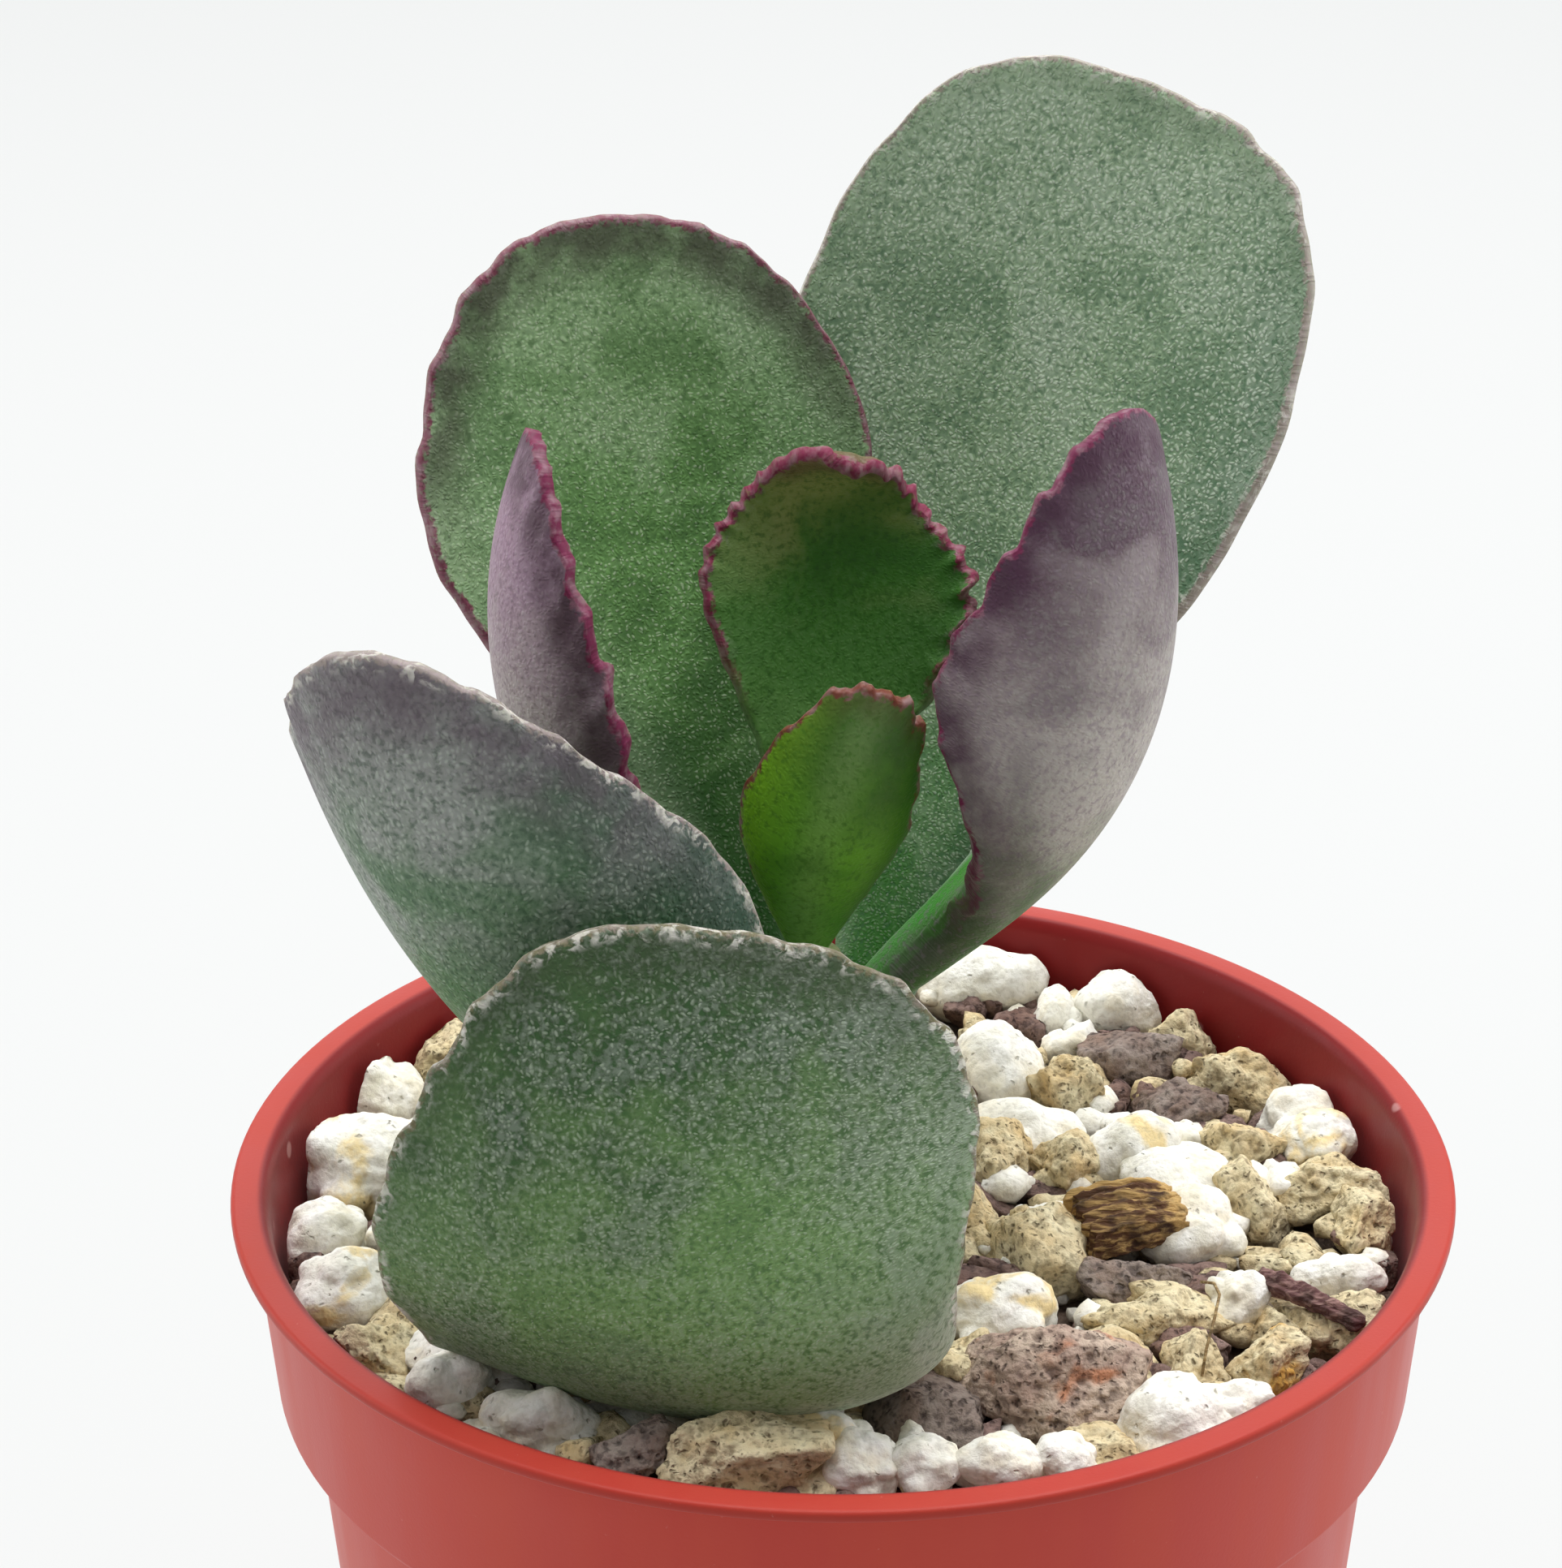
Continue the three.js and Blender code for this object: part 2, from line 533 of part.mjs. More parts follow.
const leafShapes = LEAVES.map(leafGeometry);
const leafSeats = leafShapes.map((shape) => grown(shape, GAP));
const stem = stemGeometry();
const stemSeat = grown(stem, GAP);
const details = [lavaGeometry(), barkGeometry(), twigGeometry()];
const detailSeats = details.map((shape) => grown(shape, GAP));

const stemSolid = solidOf(stem).subtract(unite(leafSeats));
const seats = unite([stemSeat, ...leafSeats, ...detailSeats]);
const grit = mainBody(gritSolid().subtract(seats));

const plant = new THREE.Group();
plant.add(named('pot', geometryOf(potSolid()), 0xb04636, 0.45));
plant.add(named('grit_bed', geometryOf(grit), 0xcfc6ae, 0.9));
plant.add(named('stem', geometryOf(stemSolid), 0x7d7a55, 0.7));
LEAVES.forEach((leaf, i) => {
  plant.add(named(leaf.name, geometryOf(solidOf(leafShapes[i])), leaf.colour, LEAF_ROUGHNESS));
});
plant.add(named('lava_stone', geometryOf(solidOf(details[0])), 0x7b5f53, 0.9));
plant.add(named('bark_chip', geometryOf(solidOf(details[1])), 0x6f5436, 0.85));
plant.add(named('twig', geometryOf(solidOf(details[2])), 0x4f382b, 0.85));

export default plant;
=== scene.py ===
# Potted dwarf succulent: fleshy cupped leaves on a short stem, in pumice grit, in a round
# thin-walled plastic pot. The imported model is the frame; this script gives it its looks.
import math
from functools import partial
from typing import NamedTuple

import bmesh
import bpy
import numpy as np
from mathutils import Matrix, Vector, noise as field
from mathutils.bvhtree import BVHTree

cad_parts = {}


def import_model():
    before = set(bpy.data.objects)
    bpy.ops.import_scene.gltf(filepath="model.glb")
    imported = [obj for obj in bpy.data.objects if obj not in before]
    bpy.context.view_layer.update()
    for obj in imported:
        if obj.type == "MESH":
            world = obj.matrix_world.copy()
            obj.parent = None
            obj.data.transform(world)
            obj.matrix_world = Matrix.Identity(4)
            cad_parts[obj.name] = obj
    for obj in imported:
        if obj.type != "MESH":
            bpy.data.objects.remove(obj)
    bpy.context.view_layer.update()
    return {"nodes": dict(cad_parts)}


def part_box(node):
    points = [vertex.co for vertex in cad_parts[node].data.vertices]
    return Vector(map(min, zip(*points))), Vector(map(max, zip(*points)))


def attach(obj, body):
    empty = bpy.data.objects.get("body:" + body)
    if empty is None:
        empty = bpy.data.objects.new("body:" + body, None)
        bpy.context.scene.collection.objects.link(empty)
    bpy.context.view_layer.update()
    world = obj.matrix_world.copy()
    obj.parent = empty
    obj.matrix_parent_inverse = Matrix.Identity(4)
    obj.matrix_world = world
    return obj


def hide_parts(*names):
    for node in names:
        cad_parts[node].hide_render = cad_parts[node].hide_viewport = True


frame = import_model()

bl_info = {
    "name": "Potted dwarf succulent",
    "version": (1, 0, 0),
    "blender": (4, 5, 0),
    "location": "View3D > Sidebar > Succulent",
    "description": "Leaves, stem, grit and pot of a small potted succulent, with stage and camera",
    "category": "Add Mesh",
}

# Shapes are worked out in millimetres and written to the meshes in metres.
MM = 0.001

# The picture's frame, and the camera fitted to the pot's rim and collar in it.
PICTURE_WIDTH = 1924
PICTURE_HEIGHT = 1932
FOCAL_PIXELS = 4872.3
RIM_CENTRE_RIGHT_PIXELS = 74.7
RIM_CENTRE_DOWN_PIXELS = 460.7
SENSOR_WIDTH_MM = 36.0

# The share of a leaf's plumpness above its middle surface, and its edge's thickness
UPPER_SHARE = 0.3
MARGIN_THICKNESS = 0.42

# How much calmer a leaf's edge is at the tip, and how uneven its waves are. The waves fade
# quickly from the edge inwards, and the swollen edge is half a millimetre wide.
TIP_CALM = 0.75
UNEVEN = 0.35
EDGE_POWER = 14
BEAD_WIDTH = 0.5


def linear(code):
    """An sRGB hex value such as #8a4a5c as a linear RGBA colour."""
    channels = [int(code[i:i + 2], 16) / 255 for i in (1, 3, 5)]
    steps = [c / 12.92 if c <= 0.04045 else ((c + 0.055) / 1.055) ** 2.4 for c in channels]
    return (*steps, 1.0)


def draw(number, purpose):
    """A repeatable draw from 0 to 1 for an item and a purpose."""
    value = math.sin(number * 12.9898 + purpose * 78.233) * 43758.5453
    return value - math.floor(value)


def smooth(value):
    """The smooth step from 0 to 1, for numbers and arrays."""
    x = np.clip(value, 0, 1)
    return x * x * (3 - 2 * x)


def unit(vectors):
    """Vectors of length 1."""
    return vectors / np.linalg.norm(vectors, axis=-1, keepdims=True)


# Settings


def length(name, description, default):
    """A length that a user can change. Its default is given in millimetres."""
    return bpy.props.FloatProperty(name=name, description=description, default=default * MM,
                                   unit="LENGTH")


def tint(name, description, code):
    """A colour that a user can change. Its default is an sRGB hex value."""
    return bpy.props.FloatVectorProperty(name=name, description=description, size=4,
                                         subtype="COLOR", default=linear(code))


class PotSettings(bpy.types.PropertyGroup):
    """Sizes and colour of the pot."""

    height: length("Height", "Foot to lip", 50)
    rim_radius: length("Rim radius", "Outside of the lip", 27.5)
    wall: length("Wall", "Thickness of the plastic", 0.8)
    colour: tint("Colour", "Moulded plastic", "#bb3d32")


class GritSettings(bpy.types.PropertyGroup):
    """Sizes and colours of the grit."""

    level: length("Level", "Height of the mix under the top grains", 45.9)
    pitch: length("Pitch", "Distance between fill grains", 4.5)
    crumbs: bpy.props.IntProperty(
        name="Crumbs", description="Small bits between the grains", default=960)
    white: tint("White pumice", "Base colour", "#ede9d8")
    tan: tint("Tan pumice", "Base colour", "#ccb488")
    lava: tint("Lava", "Base colour", "#7f6b61")


class LeafSettings(bpy.types.PropertyGroup):
    """Detail of the leaves."""

    grid: bpy.props.IntProperty(
        name="Grid", description="Faces along each side of a leaf's grid", default=88)
    bead: length("Bead", "How far the edge swells", 0.07)
    speck: length("Speck", "Distance between the skin's pale cells", 0.23)


class StageSettings(bpy.types.PropertyGroup):
    """Camera, lights and floor."""

    camera_distance: length("Camera distance", "From the camera to the rim's middle", 180)
    camera_elevation: bpy.props.FloatProperty(
        name="Camera elevation", description="Angle at which the camera looks down",
        default=math.radians(30.12), subtype="ANGLE")
    floor: length("Floor", "Half the width of the pale floor", 3000)


# Mesh helpers


def object_from(bm, name, material=None):
    """Turns a bmesh into an object of the scene."""
    mesh = bpy.data.meshes.new(name)
    bm.to_mesh(mesh)
    bm.free()
    if material:
        mesh.materials.append(material)
    made = bpy.data.objects.new(name, mesh)
    bpy.context.scene.collection.objects.link(made)
    return made


def piece_from(bm, name, material, slot, *nodes):
    """Turns a bmesh into a finished smooth piece that stands for the given CAD nodes."""
    piece = object_from(bm, name, material)
    shade_smooth(piece.data)
    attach(piece, "root")
    if nodes:
        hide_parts(*nodes)
    return piece


def shade_smooth(mesh):
    mesh.polygons.foreach_set("use_smooth", [True] * len(mesh.polygons))


def get_points(mesh):
    points = np.zeros(len(mesh.vertices) * 3)
    mesh.vertices.foreach_get("co", points)
    return points.reshape(-1, 3)


def set_points(mesh, points):
    mesh.vertices.foreach_set("co", np.asarray(points).ravel())
    mesh.update()


def set_attributes(mesh, **values):
    """Keeps a number for each point of a mesh, under each name."""
    for name, numbers in values.items():
        layer = mesh.attributes.new(name, "FLOAT", "POINT")
        layer.data.foreach_set("value", np.asarray(numbers, dtype=np.float32))


def fitted(points, size):
    """Points scaled and moved so that their box has a size and its middle at the origin."""
    low, high = points.min(0), points.max(0)
    return (points - (low + high) / 2) / (high - low) * np.array(size)


def placed(points, turn, middle):
    """Points turned about the upright axis and moved."""
    return points @ np.array(Matrix.Rotation(turn, 3, "Z")).T + np.array(middle)


# The nodes that make the materials: type, the sockets fed in order, output, settings
NODES = {
    "coordinates": ("TexCoord", (), "Object", {}),
    "attribute": ("Attribute", (), "Fac", {}),
    "scaled": ("VectorMath", (0, "Scale"), 0, {"operation": "SCALE"}),
    "bent": ("VectorMath", (0, 1, 2), 0, {"operation": "MULTIPLY_ADD"}),
    "mapping": ("Mapping", ("Vector", "Scale", "Rotation"), 0, {}),
    "parts": ("SeparateXYZ", (0,), 0, {}),
    "together": ("CombineXYZ", (0, 1), 0, {}),
    "channel": ("SeparateColor", (0,), 0, {}),
    "noise": ("TexNoise", ("Vector", "Scale", "Detail", "Distortion"), "Fac", {}),
    "cells": ("TexVoronoi", ("Vector", "Scale"), "Distance", {}),
    "ramp": ("MapRange", (0, 1, 2, 3, 4), 0, {"interpolation_type": "SMOOTHSTEP"}),
    "mix": ("Mix", (0, 6, 7), 2, {"data_type": "RGBA"}),
    "bump": ("Bump", ("Height", "Distance", "Strength"), 0, {}),
}
for word, operation in (("plus", "ADD"), ("minus", "SUBTRACT"), ("times", "MULTIPLY"),
                        ("larger", "MAXIMUM"), ("unsigned", "ABSOLUTE"), ("root", "SQRT")):
    NODES[word] = ("Math", (0, 1), 0, {"operation": operation})


def feed(node, inputs):
    """Sets a node's sockets to numbers and colours, or links them to other nodes."""
    for key, value in inputs.items():
        if isinstance(value, bpy.types.NodeSocket):
            node.id_data.links.new(value, node.inputs[key])
        else:
            is_code = isinstance(value, str)
            node.inputs[key].default_value = linear(value) if is_code else value


def add_node(tree, kind, *feeds, give=None, **settings):
    """Adds a node with its links and settings. give names another output than the usual."""
    name, sockets, output, usual = NODES[kind]
    node = tree.nodes.new("ShaderNode" + name)
    for key, value in (usual | settings).items():
        setattr(node, key, value)
    feed(node, dict(zip(sockets, feeds)))
    return node.outputs[output if give is None else give]


def new_material(name):
    """A material, what adds a node to it, and its surface shader."""
    material = bpy.data.materials.new(name)
    material.use_nodes = True
    tree = material.node_tree
    return material, partial(add_node, tree), tree.nodes["Principled BSDF"]


def millimetres(add):
    """Object coordinates in millimetres, so that a scale of 1 is one cell a millimetre."""
    return add("scaled", add("coordinates"), 1 / MM)


def painted(add, colour, layers):
    """A colour with layers over it, each a share and a colour."""
    for share, coat in layers:
        colour = add("mix", share, colour, coat)
    return colour


# Leaves


class Skin(NamedTuple):
    """How a leaf's skin looks. Faces have a colour at the base, middle and tip, and the leaf's two
    sides each a colour and share of painted light and shade, which lightens or darkens that side,
    with some of the leaf's own tone in it. Shares run from 0 to 1, lengths are in millimetres and
    reaches go from -1 at the stem to 1 at the tip."""

    upper: tuple
    under: tuple
    lit_and_shaded_sides: tuple
    deep: str
    pale: str
    cell_share: float
    cell_strength: float
    frost: tuple
    edge: str
    edge_width: float
    edge_from: float
    ticks: float
    blush_and_shade: str
    blush_and_shade_reach: tuple
    blush_and_shade_width: float
    blush_and_shade_amount: float
    highlight_streak: float


class Leaf(NamedTuple):
    """One leaf, in millimetres: the CAD's spine and section, its edge and its skin."""

    node: str
    spine: tuple
    face_at_base: tuple
    face_at_tip: tuple
    stalk: float
    half_width: float
    widen: tuple
    blunt: float
    lean: float
    cup: tuple
    plump: tuple
    corners: tuple
    point: float
    waves: int
    wave_depth: float
    scallop: float
    wave_at: float
    wave_focus: float
    skin: Skin


LEAVES = (
    Leaf("leaf_back_right",
         ((-0.7, 1.9, 51.5), (3.2, 13.6, 56.9), (8.3, 19.7, 74.3), (14.3, 20.2, 96.2)),
         (-0.32, -0.37, 0.87), (-0.21, -0.92, 0.34),
         2.2, 12.9, (-0.74, 0.52), 0.22, -0.045, (0.118, 0.017), (4.5, 3.2),
         (-0.015, 0.009, -0.044, -0.009, 0.001, -0.002),
         0, 23, 0.1, 0.1, 1.2, 0.5,
         Skin(("#2c7214", "#93ad87", "#99af8f"), ("#55714c", "#74886a", "#7c8a74"),
              ("#9bad94", 0.3, "#456248", 0.8), "#42644a", "#d6e0ce", 0.9, 0.5, (0.18, 0.2),
              "#8f867c", 0.0, -0.7, 0.5, "#75806c", (0.7, 1.0), 2.2, 0.3, 0)),
    Leaf("leaf_back_left",
         ((-2.2, 1.8, 54), (-5.3, 10, 63.1), (-10.3, 16.6, 75), (-10.5, 14.6, 90.7)),
         (0.2, -0.58, 0.79), (0.2, -0.9, 0.39),
         2.1, 11.7, (-0.7, 0.51), -0.02, -0.009, (0.116, 0.008), (4.2, 3),
         (-0.024, 0.009, -0.018, -0.01, -0.001, -0.002),
         0, 31, 0.13, 0.12, -1.6, 0.6,
         Skin(("#184a08", "#6e9c56", "#94b482"), ("#4a6b38", "#6c7f60", "#6a7a62"),
              ("#a4ba98", 0.55, "#94aa8c", 0.4), "#3e6036", "#d4e2c4", 0.7, 0.42, (0.06, 0.15),
              "#703a4a", 0.0, -0.4, 0.1, "#46403a", (0.2, 0.7), 3.6, 0.8, 0)),
    Leaf("leaf_centre_back",
         ((-1.6, 1.4, 59.8), (-0.1, 4.8, 68.1), (-0.4, 12, 77.5), (-0.4, 6.7, 81)),
         (0.04, -0.88, 0.48), (-0.02, -0.93, 0.36),
         1.8, 6.5, (-0.78, 0.39), 0.07, 0.01, (0.163, 0.055), (2.8, 2),
         (0.038, -0.01, 0.06, -0.016, 0.018, 0.031),
         0, 39, 0.36, 0.2, 1.3, 0.6,
         Skin(("#648c4c", "#3a701e", "#8c9050"), ("#3f6a2a", "#456a34", "#4f6a38"),
              ("#588440", 0.5, "#2c581a", 0.5), "#2c5420", "#8fae74", 0.3, 0.12, (0.04, 0.1),
              "#782644", 0.0, -0.3, 0.1, "#6a4438", (0.75, 1.0), 2.4, 0.7, 0)),
    Leaf("leaf_centre_front",
         ((-1.5, -0.6, 60.2), (-1.1, -1.1, 66.1), (-1.6, -3.3, 67.2), (2.3, -2.9, 74.8)),
         (0.07, 0.81, 0.59), (-0.02, 0.98, 0.19),
         1.5, 4, (-1, 0.26), -0.14, 0, (0.201, 0.119), (2.4, 1.8),
         (-0.011, 0.005, -0.029, -0.005, -0.015, -0.002),
         0, 19, 0.12, 0.14, -0.6, 0.5,
         Skin(("#3f7020", "#4c8018", "#456a20"), ("#4a8c22", "#6aa82c", "#42662a"),
              ("#2c5618", 0.8, "#8cc018", 0.5), "#3c6c1a", "#8fb86c", 0.2, 0.08, (0.03, 0),
              "#6e3a2e", 0.06, -1.3, 0, "#4e4a28", (0.6, 1.0), 1.8, 0.7, 0.35)),
    Leaf("leaf_left",
         ((-3.1, 0.3, 57.4), (-6.5, 0.8, 61.2), (-16.9, -0.2, 70.6), (-12.7, 1.6, 84.9)),
         (0.4, 0.15, 0.9), (0.98, 0.19, 0.11),
         2, 7.3, (-0.8, 0.64), -0.11, -0.005, (0.155, 0.145), (3.4, 2.5),
         (-0.003, 0.001, -0.03, 0.006, 0.004, -0.007),
         0, 33, 0.34, 0.2, -2.2, 0.8,
         Skin(("#4a7030", "#5a7a40", "#6a6a50"), ("#41651a", "#b2a8a4", "#94748a"),
              ("#70506a", 0.5, "#f2f2ee", 0.9), "#74646c", "#c6bcc0", 0.5, 0.1, (0.05, 0.12),
              "#6c2042", 0.0, -0.9, 0, "#402a34", (-0.6, -0.1), 3.8, 0.85, 0)),
    Leaf("leaf_right",
         ((0, 0.1, 57.2), (7.3, 2.8, 64.8), (14.5, -2.7, 68.7), (12.2, 0.4, 86)),
         (-0.45, -0.08, 0.89), (-0.83, 0.51, 0.21),
         1.9, 10.6, (-0.72, 0.54), -0.12, 0.025, (0.161, 0.175), (3.1, 2.5),
         (-0.026, 0.016, 0, 0.014, 0, 0),
         0.012, 31, 0.26, 0.24, 2.2, 0.75,
         Skin(("#3a9a20", "#55a832", "#5a8a40"), ("#2c6c18", "#bab4ac", "#4c3042"),
              ("#d6ded4", 0.85, "#5c3850", 0.5), "#847880", "#c8c8c0", 0.5, 0.1, (0.03, 0.14),
              "#6c2646", 0.0, -0.6, 0, "#44243a", (-0.3, 0.2), 3.2, 0.85, 0)),
    Leaf("leaf_front_left",
         ((-2.7, -0.5, 52.2), (-4.9, -3.7, 52.9), (-14.2, -11.8, 61.6), (-20.6, -11.2, 79.6)),
         (0.22, 0.34, 0.92), (0.41, 0.85, 0.34),
         2.3, 11.9, (-0.86, 0.53), -0.12, -0.036, (0.123, 0.115), (4.2, 3.1),
         (-0.007, -0.005, 0.004, -0.007, -0.006, -0.004),
         0, 33, 0.13, 0.13, 1.5, 0.4,
         Skin(("#5f7a52", "#6b8260", "#707a68"), ("#d0e0cc", "#568650", "#8e908c"),
              ("#1a4230", 0.95, "#bccab8", 0.7), "#35523c", "#c8d4c4", 0.7, 0.3, (0.12, 0.15),
              "#857a76", 0.0, -0.8, 0.7, "#5c4a58", (0.0, 0.8), 6, 0.7, 0)),
    Leaf("leaf_front",
         ((-1.5, -1.2, 54.2), (2.2, -19.5, 44.1), (-9.3, -21.1, 50.8), (-9.9, -15.3, 70.8)),
         (0.09, 0.17, 0.98), (-0.06, 1, 0),
         2.3, 12.6, (-0.85, 0.09), 0.29, -0.063, (0.051, 0.005), (4.3, 3.2),
         (-0.035, -0.072, -0.055, -0.011, 0.047, 0.038),
         0, 33, 0.13, 0.13, 1.5, 0.4,
         Skin(("#5f7a52", "#6b8260", "#5c6c50"), ("#eef6e8", "#7ca060", "#344a2c"),
              ("#78826e", 0.5, "#607656", 0.35), "#345830", "#c8d6be", 0.75, 0.3, (0.12, 0.22),
              "#6c664e", 0.0, -0.8, 0.75, "#3a4430", (0.5, 1.0), 3.4, 0.6, 0)),
)


def leaf_plan(leaf, x, y):
    """Where a place on the unit disc lies on the flattened leaf: from -1 to 1 along it and
    in millimetres across it, with how far its edge waves up or down there."""
    radius = np.minimum(1, np.hypot(x, y))
    angle = np.arctan2(x, y)
    corner = sum(share * turn(harmonic * angle) for share, (harmonic, turn) in zip(
        leaf.corners, ((k, f) for k in (3, 4, 5) for f in (np.cos, np.sin))))
    edge = radius ** EDGE_POWER * smooth((y + 0.75) / 0.35)
    phase = leaf.waves * angle + 0.9 * np.sin(3 * angle + leaf.waves)
    swing = 0.75 + 0.25 * np.sin(5 * angle + leaf.half_width)
    swing = swing * (1 - leaf.wave_focus * (0.5 - 0.5 * np.cos(angle - leaf.wave_at)))
    swing = swing * (1 - TIP_CALM * np.exp(-(angle / 0.45) ** 2)) * edge
    scallop = leaf.scallop / leaf.half_width * (
        np.cos(phase) + UNEVEN * np.cos(2.3 * phase + 1.7))
    tip = leaf.point * np.exp(-(angle / 0.3) ** 2)
    reach = 1 + radius ** 2 * (corner + tip) + swing * scallop
    along = y * reach
    widening = smooth((along - leaf.widen[0]) / (leaf.widen[1] - leaf.widen[0]))
    half_width = leaf.stalk + (leaf.half_width - leaf.stalk) * widening
    across = x * reach * half_width * (1 + leaf.blunt * np.maximum(0, along) ** 2)
    across = across * (1 + leaf.lean * x * reach)
    wave = leaf.wave_depth * swing * (np.sin(phase) + UNEVEN * np.sin(1.7 * phase + 0.9))
    return along, across, wave


def leaf_surface(leaf, x, y, side, bead=0.0):
    """Points of a leaf for places on the unit disc, x across and y along it, in millimetres.
    side is 1 on the upper face, -1 on the lower one and 0 between them."""
    radius = np.minimum(1, np.hypot(x, y))
    along, across, wave = leaf_plan(leaf, x, y)
    t = ((1 + along) / 2)[:, None]

    a, b, c, d = (np.array(point, float) for point in leaf.spine)
    centre = (1 - t) ** 3 * a + 3 * (1 - t) ** 2 * t * b + 3 * (1 - t) * t ** 2 * c + t ** 3 * d
    forward = unit((1 - t) ** 2 * (b - a) + 2 * (1 - t) * t * (c - b) + t ** 2 * (d - c))
    up = unit(np.array(leaf.face_at_base, float)) * (1 - t)
    up = up + unit(np.array(leaf.face_at_tip, float)) * t
    up = unit(up - np.sum(up * forward, axis=1, keepdims=True) * forward)
    sideways = np.cross(forward, up)
    t = t[:, 0]

    bend = np.maximum(1e-4, leaf.cup[0] + (leaf.cup[1] - leaf.cup[0]) * t)
    turn = bend * across
    plump = leaf.plump[0] + (leaf.plump[1] - leaf.plump[0]) * smooth((t - 0.05) / 0.9)
    fullness = (1 - radius ** 2) ** (0.5 + 0.35 * smooth((t - 0.1) / 0.4))
    share = np.where(side > 0, UPPER_SHARE, 1 - UPPER_SHARE)
    swell = bead * np.exp(-((1 - radius) * leaf.half_width / BEAD_WIDTH) ** 2)
    lift = side * (plump * share * fullness + MARGIN_THICKNESS / 2 + swell) + wave
    shift = np.sin(turn) / bend - lift * np.sin(turn)
    rise = (1 - np.cos(turn)) / bend + lift * np.cos(turn)
    return centre + shift[:, None] * sideways + rise[:, None] * up


def leaf_grid(count):
    """A closed flat pillow: two grids of count faces a side, bridged round their edges."""
    bm = bmesh.new()
    for height in (1, -1):
        made = bmesh.ops.create_grid(bm, x_segments=count, y_segments=count, size=1)["verts"]
        bmesh.ops.translate(bm, verts=made, vec=(0, 0, height))
    bmesh.ops.bridge_loops(bm, edges=[edge for edge in bm.edges if edge.is_boundary])
    bmesh.ops.recalc_face_normals(bm, faces=bm.faces)
    return bm


def make_leaf(leaf, settings):
    """One leaf, with what its skin needs as attributes of the mesh."""
    piece = piece_from(leaf_grid(settings.grid), leaf.node + "_skin", leaf_skin(leaf), "leaf",
                       leaf.node)
    mesh = piece.data
    flat = get_points(mesh)
    u, v = (0.6 * flat[:, i] + 0.4 * np.sin(flat[:, i] * math.pi / 2) for i in (0, 1))
    side = np.sign(flat[:, 2])
    x = u * np.sqrt(1 - v * v / 2)
    y = v * np.sqrt(1 - u * u / 2)
    radius = np.maximum(1e-6, np.hypot(x, y))
    middle = leaf_surface(leaf, x, y, 0 * side)
    margin = leaf_surface(leaf, x / radius, y / radius, 0 * side)
    set_points(mesh, leaf_surface(leaf, x, y, side, settings.bead / MM) * MM)
    along, across, _ = leaf_plan(leaf, x, y)
    span = np.linalg.norm(np.diff(np.array(leaf.spine), axis=0), axis=1).sum()
    set_attributes(mesh, inset=np.linalg.norm(margin - middle, axis=1), reach=along,
                   across=across, along=span * (1 + along) / 2, sideways=x,
                   face=0.5 + 0.5 * side)


